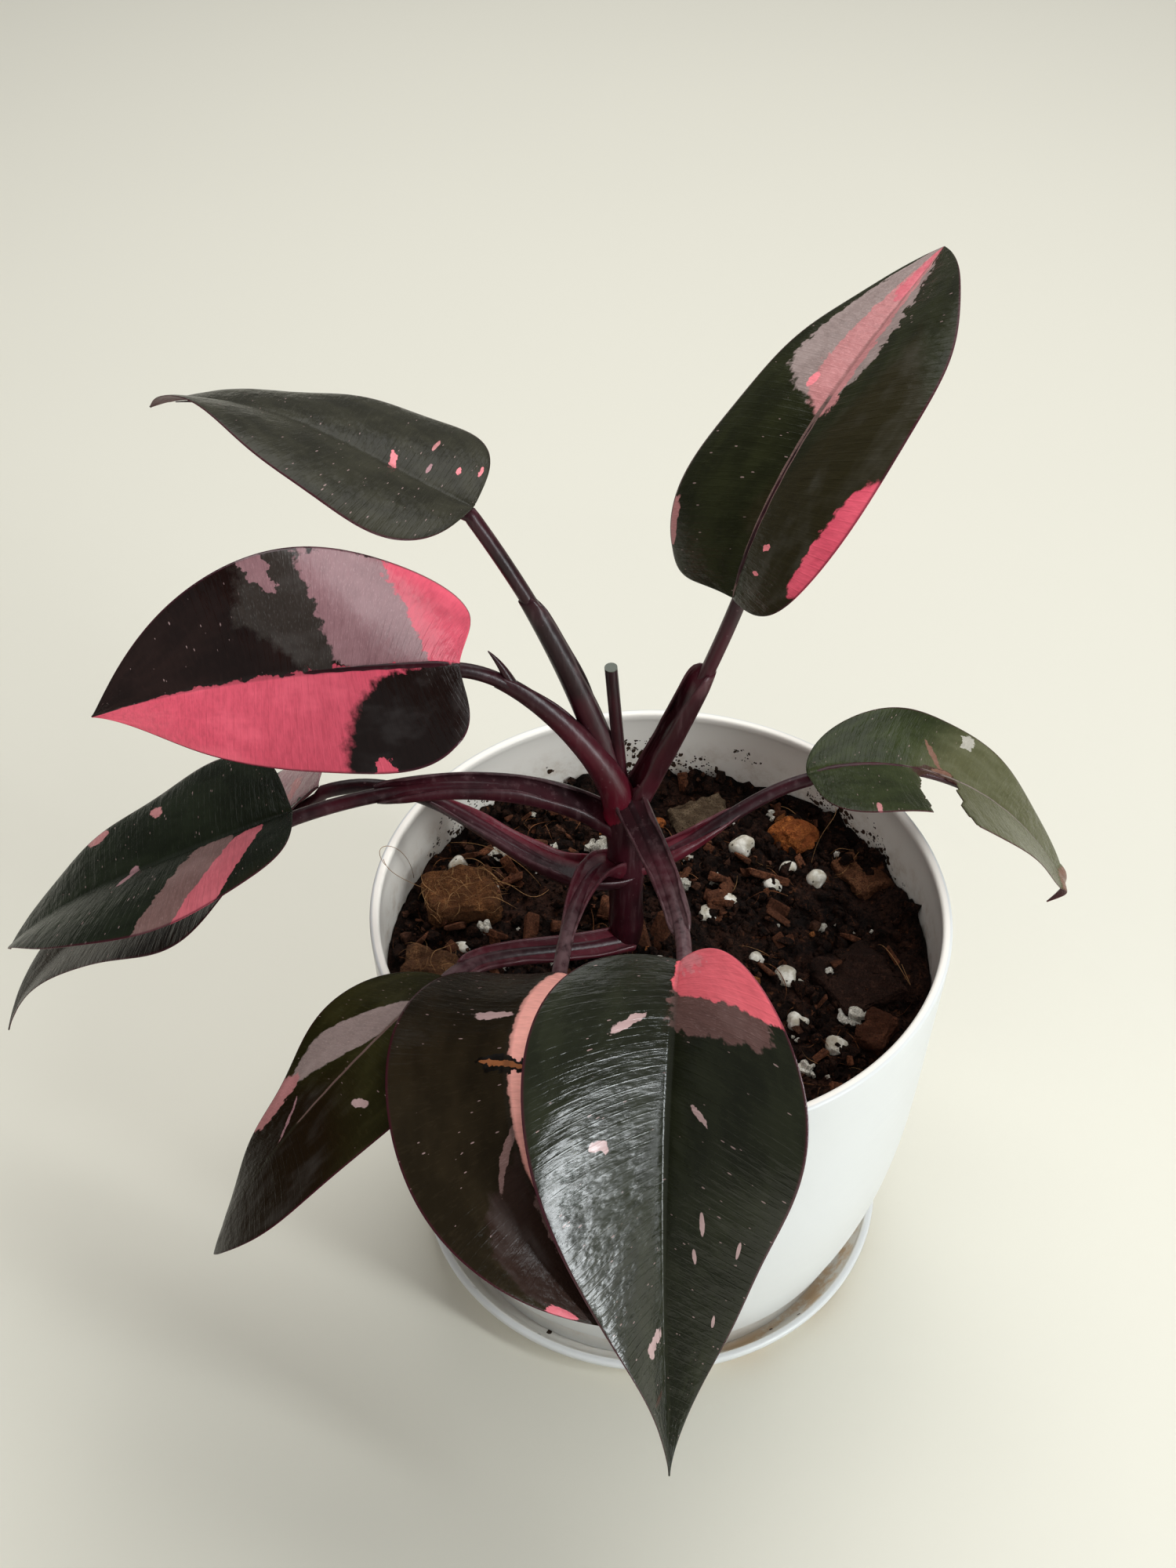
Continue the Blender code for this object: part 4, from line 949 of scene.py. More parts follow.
def sheath(name, leaf, seed):
    """A winged gutter that grips a petiole, thick below and thin at its two wavy lips."""
    shape = leaf["sheath"]
    share = np.linspace(0.0, 1.0, SHEATH_STEPS)[:, None]
    spoke = np.linspace(-1.0, 1.0, SHEATH_SPOKES)[None, :]
    stretch = petiole_points(leaf, SHEATH_SAMPLES)
    reached = (shape["begin"] + (shape["cover"] - shape["begin"]) * share[:, 0]) * (SHEATH_SAMPLES - 1)
    path = np.stack([np.interp(reached, np.arange(SHEATH_SAMPLES), stretch[:, axis]) for axis in range(3)], -1)
    tangent = np.gradient(path, axis=0)
    tangent /= np.linalg.norm(tangent, axis=1, keepdims=True)
    side = np.cross(tangent, (0.0, 0.0, 1.0))
    side /= np.linalg.norm(side, axis=1, keepdims=True)
    up = np.cross(side, tangent)
    turn = math.radians(shape["turn"])
    side, up = side * math.cos(turn) - up * math.sin(turn), up * math.cos(turn) + side * math.sin(turn)
    ending = np.clip((1 - share) / (BLUNT_END if shape["blunt"] else DRAWN_OUT_END), 0.0, 1.0) ** 0.55
    half, under, above = (np.interp(share, (0.0, 1.0), shape[key]) for key in ("half", "under", "above"))
    half, above = half * (0.75 + 0.25 * ending), above * (0.3 + 0.7 * ending)
    reach = math.radians(shape["wrap"]) * (0.45 + 0.55 * ending)
    sway = 0.05 * np.sin(9.0 * share + seed + spoke) + 0.03 * np.sin(23.0 * share + 2.0 * seed - spoke)
    angle = reach * spoke * (1.0 + sway * np.abs(spoke) ** 3)
    skins = []
    for inset in (0.0, 1.0):
        wall = inset * (SHEATH_FLOOR + (SHEATH_EDGE - SHEATH_FLOOR) * spoke ** 2)
        across = (half - wall) * np.sin(angle) / np.sin(np.minimum(reach, math.pi / 2))
        depth = (under + above) / (1.0 - np.cos(reach))
        rise = depth - under - (depth - wall) * np.cos(angle)
        if inset:
            rise = np.maximum(rise, np.minimum(SHEATH_FILL, 0.62 * above))
        skins.append(path[:, None] + side[:, None] * across[..., None] + up[:, None] * rise[..., None])
    ring = np.concatenate((skins[0], skins[1][:, ::-1]), axis=1)
    count = ring.shape[1]
    faces = []
    for first in range(0, (SHEATH_STEPS - 1) * count, count):
        for i in range(count):
            after = (i + 1) % count
            faces.append((first + i, first + after, first + count + after, first + count + i))
    for first in (0, (SHEATH_STEPS - 1) * count):
        for i in range(SHEATH_SPOKES - 1):
            faces.append((first + i, first + i + 1, first + count - 2 - i, first + count - 1 - i))
    mesh = bpy.data.meshes.new(name)
    mesh.from_pydata(ring.reshape(-1, 3).tolist(), [], faces)
    whole = np.concatenate((spoke, spoke[:, ::-1]), axis=1)
    base, all_over, far = shape["blush"]
    blush = base * np.exp(-6.0 * share) + all_over + far * np.clip(whole, 0.0, 1.0)
    lip = np.broadcast_to(np.abs(whole) ** 10, ring.shape[:2])
    for title, values in (("blush", blush), ("lip", lip)):
        layer = mesh.attributes.new(title, "FLOAT", "POINT")
        layer.data.foreach_set("value", values.astype(np.float32).ravel())
    form = bmesh.new()
    form.from_mesh(mesh)
    bmesh.ops.recalc_face_normals(form, faces=form.faces)
    form.to_mesh(mesh)
    form.free()
    mesh.shade_smooth()
    return placed(name, mesh)


def stalk_skin(name, pale):
    """Wine-purple plant skin: fine lines, red flushes, lips paler in colour and by painted sheen, and a painted
    highlight on the front.
    """
    material, tree, shader = new_material(name, 0.30)
    place = object_place(tree)
    lines = grain(tree, stretched(tree, place, (520.0, 520.0, 60.0)), 1.0, 3.0, 0.6)
    flush = fade(tree, grain(tree, place, 42.0, 2.0), 0.42, 0.68)
    colour = tint(tree, flush, WINE_DARK, WINE_RED)
    blush = wire(tree, "ShaderNodeAttribute", attribute_name="blush", result=2)
    colour = tint(tree, blush, colour, CRIMSON)
    lip = wire(tree, "ShaderNodeAttribute", attribute_name="lip", result=2)
    # Painted highlight: pieces at the front are paled along their lines, standing in for the window's sheen on them;
    # the lips are paled partly for their own paler colour and partly as painted sheen
    front = calc(tree, "MULTIPLY", fade(tree, axes(tree, place)[1], -0.006, -0.034), 0.75)
    lip_and_front_sheen = calc(tree, "MAXIMUM", calc(tree, "MULTIPLY", lip, 0.30), front)
    colour = tint(tree, calc(tree, "MULTIPLY", lip_and_front_sheen, fade(tree, lines, 0.25, 0.60)), colour, WINE_PALE_AND_SHEEN)
    colour = tint(tree, calc(tree, "MULTIPLY", fade(tree, lines, 0.52, 0.74), pale), colour, WINE_PALE_AND_SHEEN)
    dots = use(tree, SPECKS, place=place, scale=1100.0, size=0.26, share=0.10)
    colour = tint(tree, calc(tree, "MULTIPLY", dots, 0.35), colour, WINE_PALE_AND_SHEEN)
    cut = calc(tree, "GREATER_THAN", axes(tree, place)[2], STUB_TOP.z - 0.0002)
    if name == "stem_skin":
        colour = tint(tree, cut, colour, STUB_GREY)
    tree.links.new(colour, shader.inputs["Base Color"])
    tree.links.new(calc(tree, "MULTIPLY_ADD", lines, 0.20, 0.27), shader.inputs["Roughness"])
    shader.inputs["Specular IOR Level"].default_value = 0.36
    shader.inputs["Coat Weight"].default_value = 0.06
    shader.inputs["Coat Roughness"].default_value = 0.25
    relief(tree, shader, lines, 0.00012)
    return material


STALKS = stalk_tree()
petiole_routes = []
for leaf in LEAVES.values():
    stalk = petiole_points(leaf, PETIOLE_STEPS)
    swell = 1.0 + 0.18 * np.exp(-np.linspace(0.0, 1.0, PETIOLE_STEPS) * 9.0)
    run = np.linspace(0.0, 1.0, MIDRIB_STEPS + 1)[1:]
    thin = PETIOLE_RADIUS * (1.0 - run) ** 0.9 * 0.85 + 0.00012
    spine, _, normal = midrib(leaf, leaf["length"] * MIDRIB_END * run)
    spine = spine - normal * (BLADE_THICKNESS / 2 + thin * leaf.get("sink", 1.0))[:, None]
    ease = np.clip(run / 0.06, 0.0, 1.0)[:, None]
    spine = spine - normal * (1 - ease) * PETIOLE_RADIUS * 0.4
    petiole_routes.append((np.concatenate((stalk, spine)), np.concatenate((swell * PETIOLE_RADIUS, thin))))

# The pointed free end of the half pink leaf's sheath
horn_foot = petiole_points(LEAVES["leaf_half_pink"], HORN_SAMPLES)[HORN_FOOT]
horn = [horn_foot + np.array(HORN_REACH) * share ** 1.15 + np.array(HORN_ARCH) * math.sin(3.0 * share)
        for share in np.linspace(0.0, 1.0, HORN_STEPS)]
petiole_routes.append((horn, HORN_RADIUS * (1.0 - np.linspace(0.0, 0.95, HORN_STEPS)) ** 0.8))

stalk_pieces = [sweep("petioles_and_midribs", petiole_routes, round_section(), stalk_skin("petiole_skin", 0.20))]
sheath_skin = stalk_skin("sheath_skin", 0.30)
for seed, (name, leaf) in enumerate(LEAVES.items(), start=1):
    piece = sheath(f"{name}_sheath", leaf, seed)
    piece.data.materials.append(sheath_skin)
    stalk_pieces.append(piece)
stem_shares = np.linspace(0.0, 1.0, STEM_STEPS)
stem_widths = np.interp(stem_shares, *zip(*STEM_SWELLS)) * STEM_RADIUS
stem_route = [(STEM_FOOT.lerp(STEM_CROWN, float(share)), width) for share, width in zip(stem_shares, stem_widths)]
stub_foot = STEM_CROWN.lerp(STEM_FOOT, 0.1)
stub_route = [(stub_foot.lerp(STUB_TOP, step / STUB_STEPS), STUB_RADIUS) for step in range(STUB_STEPS + 1)]
stem_routes = [tuple(zip(*stem_route)), tuple(zip(*stub_route))]
stalk_pieces.append(sweep("stem_and_stub", stem_routes, round_section(28), stalk_skin("stem_skin", 0.25)))
for piece in stalk_pieces:
    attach(piece, "root")
    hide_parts("stem_and_petioles")

# Stray fibres
# A few loose coir hairs that spring out of the mix. They arch over the bark chunks, the clay
# and the left of the pot's lip.
HAIR_RADIUS = 0.00008
HAIR_STEPS = 28

# Points that each hair passes
HAIRS = (
    ((-0.0673, 0.0228, 0.106), (-0.0685, 0.0159, 0.122), (-0.0711, 0.0117, 0.129), (-0.0735, 0.0085, 0.131),
     (-0.0719, 0.0068, 0.127)),
    ((-0.0631, 0.0177, 0.107), (-0.0663, 0.0063, 0.122), (-0.0698, 0.0037, 0.128), (-0.0722, 0.0061, 0.13)),
    ((-0.0509, 0.0131, 0.108), (-0.0421, 0.0113, 0.118), (-0.0359, 0.0064, 0.119), (-0.03, 0.0149, 0.112)),
    ((-0.0587, 0.0369, 0.106), (-0.0479, 0.0281, 0.114), (-0.0387, 0.0197, 0.117), (-0.0324, 0.0191, 0.109)),
    ((0.0407, 0.0333, 0.108), (0.0424, 0.031, 0.121), (0.0449, 0.0321, 0.126), (0.0455, 0.0335, 0.129)),
    ((0.0638, -0.0008, 0.106), (0.0644, -0.0137, 0.113), (0.0604, -0.0103, 0.118), (0.0571, 0.0003, 0.112)),
)


def smooth_path(corners, steps):
    """Points of an even curve through the corners."""
    corners = np.array(corners)
    knots = np.linspace(0.0, 1.0, len(corners))
    weights = np.polyfit(knots, corners, min(3, len(corners) - 1))
    return np.stack([np.polyval(weights[:, axis], np.linspace(0.0, 1.0, steps)) for axis in range(3)], -1)


hair_routes = [(smooth_path(corners, HAIR_STEPS), [HAIR_RADIUS] * HAIR_STEPS) for corners in HAIRS]
stray = sweep("stray_fibres", hair_routes, round_section(6), hair_skin)
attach(stray, "root")

# Leaf blades
# Nine waxy heart-shaped blades, near black green with sharp-edged pink and grey-pink
# sectors that follow the side veins. Each is joined to its petiole at its notched base.
BLADE_ROWS = 150
BLADE_COLUMNS = 64
TORN_ROWS = 230
TORN_COLUMNS = 96
RIB_SPREAD = 1.25
LOBE_SPREAD = 1.2
SIDE_VEINS = 15
LEAN_TURN_START = 0.35
LEAN_TURN_LENGTH = 0.40
CURL_START = 0.92
CURL_LENGTH = 0.08
QUILT_RISE = 0.00013
GROOVE_DEPTH = 0.00028
GROOVE_WIDTH = 0.0009
MARGIN_WAVE = 0.0006
TEAR_JAG = 0.012
PINK = (0.76, 0.098, 0.155)
PINK_LIGHT = (0.80, 0.22, 0.25)
DUSTY_PINK = (0.46, 0.19, 0.19)
ROSE = (0.58, 0.135, 0.165)
SALMON = (0.88, 0.40, 0.34)
GREY_PINK = (0.32, 0.170, 0.185)
GREY_LIGHT = (0.27, 0.205, 0.190)
PALE_FLECK = (0.44, 0.30, 0.29)
MAUVE = (0.190, 0.110, 0.100)
OLIVE = (0.085, 0.085, 0.040)
BURNT = (0.045, 0.020, 0.012)
CHARRED = (0.004, 0.003, 0.002)
BROWN_GREY = (0.026, 0.0140, 0.0105)
DRY_BROWN = (0.170, 0.085, 0.058)
RUST = (0.27, 0.095, 0.035)
CORAL = (0.86, 0.150, 0.185)
DARK_MAUVE = (0.130, 0.068, 0.060)
ASH_FLECK = (0.36, 0.34, 0.29)
# Painted sheen: a lighter grey that stands in for the gloss on the half pink leaf's dark half
PAINTED_SHEEN_GREY = (0.042, 0.034, 0.029)
WARM_BLACK = (0.0125, 0.0068, 0.0026)
BLACK_PLUM = (0.0120, 0.0066, 0.0054)
WARM_OLIVE = (0.022, 0.0180, 0.0068)
MARGIN_PURPLE = (0.060, 0.010, 0.020)
UNDER_MAROON = (0.070, 0.020, 0.022)
WAXY_GLOSS = 0.40

# Sectors that get painted sheen lines, pale streaks standing in for their gloss, and those whose pink shows on the
# underside too
SHEEN_PAINTED_SECTORS = (GREY_PINK, GREY_LIGHT, MAUVE, DARK_MAUVE, DUSTY_PINK, PAINTED_SHEEN_GREY)
PINKS = (PINK, PINK_LIGHT, CORAL, DUSTY_PINK, ROSE, SALMON)

# The bite out of the torn leaf's right half, as (along, across) places on the blade
TEAR = ((0.36, -1.25), (0.37, -0.75), (0.375, -0.40), (0.396, -0.14), (0.430, -0.06), (0.470, -0.05),
        (0.500, -0.07), (0.511, -0.14), (0.495, -0.40), (0.478, -0.68), (0.490, -1.25))

# Each leaf's ground colour, gloss and sectors. A sector has its colour, its middle (along,
# across), its reach (along, across), its slant against the side veins, its squareness
# and how ragged its edge is
MARKINGS = {
    "leaf_front_large": dict(ground=(0.0100, 0.0112, 0.0055), gloss=0.42, sectors=(
        (DARK_MAUVE, (0.03, 0.42), (0.172, 0.46), 0.05, 6, 0.8),
        (CORAL, (0.0, 0.55), (0.132, 0.60), 0.0, 8, 0.5),
        (PINK_LIGHT, (0.0, 0.30), (0.060, 0.30), 0.10, 2, 1.6),
        (PALE_FLECK, (0.188, -0.30), (0.010, 0.11), 0.12, 2, 0.9),
        (PALE_FLECK, (0.353, 0.25), (0.008, 0.075), -0.16, 2, 1.0),
        (PALE_FLECK, (0.389, -0.50), (0.010, 0.06), -0.1, 3, 0.8),
        (PALE_FLECK, (0.539, 0.38), (0.018, 0.030), -0.35, 2, 0.4),
        (PALE_FLECK, (0.604, 0.35), (0.013, 0.028), -0.30, 2, 0.4),
        (PALE_FLECK, (0.547, 0.75), (0.017, 0.018), -0.30, 2, 0.3),
        (PALE_FLECK, (0.704, 0.73), (0.010, 0.026), -0.20, 2, 0.3),
        (PALE_FLECK, (0.762, -0.30), (0.013, 0.20), 0.03, 2, 0.9),
        (BURNT, (0.855, -0.50), (0.006, 0.24), 0.0, 2, 1.0),
    )),
    "leaf_front_middle": dict(ground=(0.0115, 0.0080, 0.0040), gloss=0.07, sectors=(
        (BROWN_GREY, (0.84, -0.30), (0.180, 0.60), 0.15, 3, 0.9),
        (MAUVE, (0.62, -0.12), (0.014, 0.17), 0.30, 2, 0.6),
        (PALE_FLECK, (0.300, -0.20), (0.011, 0.17), 0.0, 2, 0.6),
        (MAUVE, (0.80, 0.50), (0.090, 0.54), 0.0, 6, 0.7),
        (SALMON, (0.34, 0.56), (0.390, 0.55), 0.0, 8, 0.25),
        (ROSE, (0.88, -0.90), (0.030, 0.10), 0.0, 3, 0.7),
        (CHARRED, (0.437, 0.03), (0.018, 0.30), -0.05, 2, 1.1),
        (RUST, (0.438, 0.02), (0.006, 0.23), -0.05, 2, 1.4),
    )),
    "leaf_front_left": dict(ground=(0.0165, 0.0150, 0.0048), gloss=0.04, sectors=(
        (WARM_BLACK, (1.0, 0.0), (0.50, 8.0), 0.0, 1, 0.6),
        (GREY_LIGHT, (0.365, -0.42), (0.100, 0.42), 0.24, 4, 0.5),
        (DUSTY_PINK, (0.585, -0.88), (0.085, 0.22), 0.10, 3, 0.9),
        (PALE_FLECK, (0.485, 0.47), (0.010, 0.10), 0.1, 2, 0.6),
        (GREY_PINK, (0.62, -0.25), (0.010, 0.20), -0.3, 2, 0.8),
        (MAUVE, (0.30, 0.0), (0.32, 0.016), 0.0, 8, 0.0),
    )),
    "leaf_left_upper": dict(ground=(0.0085, 0.0110, 0.0060), gloss=0.08, sectors=(
        (MAUVE, (0.33, 0.55), (0.066, 0.52), -0.10, 6, 0.6),
        (ROSE, (0.245, 0.60), (0.050, 0.52), -0.15, 6, 0.4),
        (DUSTY_PINK, (0.461, -0.68), (0.014, 0.12), 0.1, 2, 0.7),
        (DUSTY_PINK, (0.640, -0.92), (0.030, 0.13), 0.1, 2, 0.7),
        (GREY_PINK, (0.539, 0.07), (0.013, 0.14), -0.1, 2, 0.7),
    )),
    "leaf_left_lower": dict(ground=(0.0130, 0.0100, 0.0070), gloss=0.18, sectors=(
        (GREY_PINK, (0.08, -0.60), (0.180, 0.55), 0.0, 5, 0.6),
        (DUSTY_PINK, (0.15, -0.35), (0.020, 0.20), 0.0, 2, 0.9),
    )),
    "leaf_half_pink": dict(ground=(0.0098, 0.0045, 0.0036), gloss=0.50, sectors=(
        # Painted sheen: this lighter grey patch on the dark half stands in for its gloss
        (PAINTED_SHEEN_GREY, (0.50, -0.52), (0.130, 0.72), 0.1, 1, 0.9),
        (GREY_PINK, (0.25, -0.50), (0.210, 0.52), 0.10, 7, 1.0),
        (PINK, (0.0, -0.50), (0.245, 0.55), 0.24, 8, 1.0),
        (GREY_PINK, (0.565, -0.85), (0.022, 0.20), 0.1, 3, 0.8),
        (PINK, (0.62, 0.53), (0.445, 0.53), -0.17, 8, 0.6),
        (BLACK_PLUM, (0.10, 0.60), (0.300, 0.60), -0.10, 3, 0.8),
        (PINK, (0.346, 1.0), (0.020, 0.14), 0.0, 3, 0.8),
    )),
    # This leaf's ground is lightened past its own grey-green to stand in for the grey sheen on it: partly painted sheen
    "leaf_upper_left": dict(ground=(0.0195, 0.0185, 0.0120), gloss=0.14, sectors=(
        (PINK_LIGHT, (0.324, -0.07), (0.011, 0.09), 0.1, 2, 0.8),
        (DUSTY_PINK, (0.246, -0.50), (0.006, 0.09), 0.0, 2, 0.5),
        (PINK_LIGHT, (0.138, -0.35), (0.008, 0.06), 0.0, 2, 0.8),
        (PINK_LIGHT, (0.066, -0.65), (0.008, 0.10), 0.0, 2, 0.8),
        (GREY_PINK, (0.224, -0.17), (0.005, 0.06), 0.0, 2, 0.8),
    )),
    "leaf_upper_right": dict(ground=(0.0110, 0.0120, 0.0042), gloss=0.14, sectors=(
        (WARM_OLIVE, (0.26, -0.62), (0.40, 0.75), 0.0, 1, 0.8),
        (GREY_LIGHT, (0.80, 0.40), (0.245, 0.42), -0.12, 5, 1.1),
        (GREY_LIGHT, (0.74, -0.12), (0.180, 0.17), 0.35, 3, 1.7),
        (DUSTY_PINK, (0.79, 0.12), (0.270, 0.24), -0.18, 5, 0.8),
        (ROSE, (0.95, 0.15), (0.130, 0.15), -0.1, 4, 0.9),
        (PINK_LIGHT, (0.575, 0.30), (0.016, 0.05), 0.0, 2, 0.6),
        (PINK, (0.238, -1.02), (0.108, 0.25), 0.0, 3, 0.6),
        (DUSTY_PINK, (0.235, 0.99), (0.060, 0.09), 0.0, 3, 0.6),
        (PINK_LIGHT, (0.195, -0.27), (0.008, 0.05), 0.0, 2, 0.8),
        (PINK_LIGHT, (0.131, -0.30), (0.005, 0.06), 0.0, 2, 0.8),
        (MAUVE, (0.25, 0.0), (0.30, 0.028), 0.0, 8, 0.0),
    )),
    "leaf_right_torn": dict(ground=(0.0180, 0.0230, 0.0078), gloss=0.18, sectors=(
        (OLIVE, (0.98, 0.0), (0.560, 9.0), 0.0, 1, 0.5),
        (ASH_FLECK, (0.51, 0.80), (0.018, 0.13), 0.0, 4, 0.8),
        (DUSTY_PINK, (0.235, -0.92), (0.008, 0.10), 0.0, 2, 0.7),
        (DRY_BROWN, (0.440, 0.28), (0.008, 0.26), 0.16, 2, 0.8),
        (BURNT, (0.450, -0.06), (0.066, 0.14), 0.0, 3, 0.5),
        (DRY_BROWN, (0.470, 0.02), (0.030, 0.05), 0.0, 2, 1.0),
        (DRY_BROWN, (1.0, 0.0), (0.075, 1.6), 0.0, 4, 0.4),
        (GREY_LIGHT, (0.60, 0.0), (0.36, 0.016), 0.0, 8, 0.0),
    )),
}


def blade_places(leaf, along, across, rise_by=0.0):
    """Places on the blade: along 0 to 1 from joint to tip, across -1 right to 1 left."""
    fullness, sharpness = leaf["shape"]
    widest = fullness / (fullness + sharpness)
    left = across > 0
    swell = along ** fullness * (1 - along) ** sharpness / (widest ** fullness * (1 - widest) ** sharpness)
    half = np.where(left, leaf["half_left"], leaf["half_right"])
    lobe = np.where(left, *leaf["lobes"])
    second, third = (np.where(left, a, b) for a, b in zip(leaf["edge_left"], leaf["edge_right"]))
    swell = swell * (1 + second * np.sin(math.tau * along) + third * np.sin(3 * math.pi * along))
    out = half * swell * across
    edge = along - lobe * np.sin(math.pi * along) * (1 - along) ** 3
    rib = along ** RIB_SPREAD
    station = leaf["length"] * (rib + (edge - rib) * np.abs(across) ** LOBE_SPREAD)
    point, side, normal = midrib(leaf, station)
    fold = math.radians(leaf["fold"])
    wider_half = max(leaf["half_left"], leaf["half_right"])
    rise = np.abs(out) * math.sin(fold) + leaf["cup"] * out * out / wider_half + rise_by
    near, far = leaf.get("lean", (0.0, 0.0))
    turn = np.clip((along - LEAN_TURN_START) / LEAN_TURN_LENGTH, 0.0, 1.0)
    turn = turn * turn * (3 - 2 * turn)
    rise = rise + np.where(left, 0.0, np.abs(out) * (near * (1 - turn) + far * turn))
    tip = np.clip((along - CURL_START) / CURL_LENGTH, 0.0, 1.0)
    outwards, inwards, drop = leaf.get("curl", (0.0, 0.0, 0.0))
    curl = np.stack((outwards * np.sin(np.pi * tip) + inwards * tip ** 2, 0.0 * tip, drop * tip ** 2), -1)
    return point + side * (out * math.cos(fold))[..., None] + normal * rise[..., None] + curl, np.abs(out)


def vein_relief(along, across, out, seed):
    """Raised quilting between the side veins, a midrib groove and a softly waved margin."""
    phase = np.abs((along * SIDE_VEINS + 0.5) % 1.0 - 0.5) * 2
    quilting = QUILT_RISE * np.sqrt(phase) * (1 - np.abs(across) ** 6)
    groove = -GROOVE_DEPTH * np.exp(-(out / GROOVE_WIDTH) ** 2) * (1 - along)
    sway = np.sin(along * 17.0 + seed + np.sign(across)) * np.sin(math.pi * along)
    wave = MARGIN_WAVE * np.abs(across) ** 3 * sway
    return quilting + groove + wave


def inside_tear(along, across):
    """Whether a place on the torn leaf lies in the bite."""
    within = False
    jag = TEAR_JAG * noise.noise(Vector((along * 60.0, across * 5.0, 0.0)))
    for (a0, c0), (a1, c1) in zip(TEAR, TEAR[1:] + TEAR[:1]):
        if (c0 > across) != (c1 > across) and along + jag < a0 + (across - c0) / (c1 - c0) * (a1 - a0):
            within = not within
    return within


def blade(name, leaf, seed, torn):
    """A thin closed blade with its own map: U from joint to tip, V from right to left."""
    rows, columns = (TORN_ROWS, TORN_COLUMNS) if torn else (BLADE_ROWS, BLADE_COLUMNS)
    along = (1 - np.cos(np.pi * np.arange(rows + 1) / rows)) / 2
    along = np.clip(along, 0.0004, 0.9996)
    across = np.sin(np.linspace(-1, 1, columns + 1) * math.pi / 2) * 0.35 + np.linspace(-1, 1, columns + 1) * 0.65
    along, across = np.meshgrid(along, across, indexing="ij")
    sheet, out = blade_places(leaf, along, across)
    sheet, _ = blade_places(leaf, along, across, vein_relief(along, across, out, seed))
    normal = np.cross(np.gradient(sheet, axis=0), np.gradient(sheet, axis=1))
    normal /= np.maximum(np.linalg.norm(normal, axis=-1, keepdims=True), 1e-12)
    half = BLADE_THICKNESS / 2 * (1 - 0.65 * np.abs(across) ** 20)[..., None]
    places = np.concatenate(((sheet + normal * half).reshape(-1, 3), (sheet - normal * half).reshape(-1, 3)))
    count = along.size
    kept = np.ones((rows, columns), bool)
    if torn:
        for row in range(rows):
            for column in range(columns):
                a, c = along[row:row + 2, column].mean(), across[row, column:column + 2].mean()
                kept[row, column] = not inside_tear(a, c)
    faces = []
    sides = {}
    for row, column in zip(*np.nonzero(kept)):
        near = row * (columns + 1) + column
        corners = (near, near + columns + 1, near + columns + 2, near + 1)
        faces.append(corners)
        faces.append(tuple(count + corner for corner in reversed(corners)))
        for first, second in zip(corners, corners[1:] + corners[:1]):
            if sides.pop((second, first), None) is None:
                sides[(first, second)] = True
    faces += [(second, first, count + first, count + second) for first, second in sides]
    mesh = bpy.data.meshes.new(name)
    mesh.from_pydata(places.tolist(), [], faces)
    layer = mesh.uv_layers.new(name="blade")
    corner_place = np.empty(len(mesh.loops), int)
    mesh.loops.foreach_get("vertex_index", corner_place)
    corner_place %= count
    chart = np.stack((along.ravel()[corner_place], (across.ravel()[corner_place] + 1) / 2), -1)
    layer.data.foreach_set("uv", chart.astype(np.float32).ravel())
    under = mesh.attributes.new("under", "FLOAT", "POINT")
    under.data.foreach_set("value", np.repeat((0.0, 1.0), count).astype(np.float32))
    form = bmesh.new()
    form.from_mesh(mesh)
    bmesh.ops.remove_doubles(form, verts=form.verts, dist=0.000004)
    loose = [vertex for vertex in form.verts if not vertex.link_faces]
    bmesh.ops.delete(form, geom=loose, context="VERTS")
    form.to_mesh(mesh)
    form.free()
    mesh.shade_smooth()
    return placed(name, mesh)


def sector_group():
    """One variegated sector: a rounded box in blade places with ragged, vein-led edges."""
    names = ("Along", "Across", "Jag", "Middle Along", "Middle Across", "Reach Along", "Reach Across",
             "Slant", "Squareness", "Ragged")
    group, given, taken = new_group("sector", names, ("Mask",))
    sway, shift, _ = axes(group, given["Jag"])
    along_most = calc(group, "MINIMUM", calc(group, "MULTIPLY", given["Reach Along"], 3.6), 0.07)
    across_most = calc(group, "MINIMUM", calc(group, "MULTIPLY", given["Reach Across"], 2.2), 0.30)
    offset = calc(group, "SUBTRACT", given["Across"], given["Middle Across"])
    step = calc(group, "SUBTRACT", given["Along"], given["Middle Along"])
    step = calc(group, "MULTIPLY_ADD", given["Slant"], offset, step)
    step = calc(group, "ADD", step, calc(group, "MULTIPLY", calc(group, "MULTIPLY", sway, given["Ragged"]), along_most))
    push = calc(group, "MULTIPLY", calc(group, "MULTIPLY", shift, given["Ragged"]), across_most)
    offset = calc(group, "ADD", offset, push)
    shares = []
    for distance, reach in ((step, "Reach Along"), (offset, "Reach Across")):
        share = calc(group, "ABSOLUTE", calc(group, "DIVIDE", distance, given[reach]))
        shares.append(calc(group, "POWER", share, given["Squareness"]))
    mask = fade(group, calc(group, "ADD", *shares), 1.18, 0.86)
    group.links.new(mask, taken["Mask"])
    return group


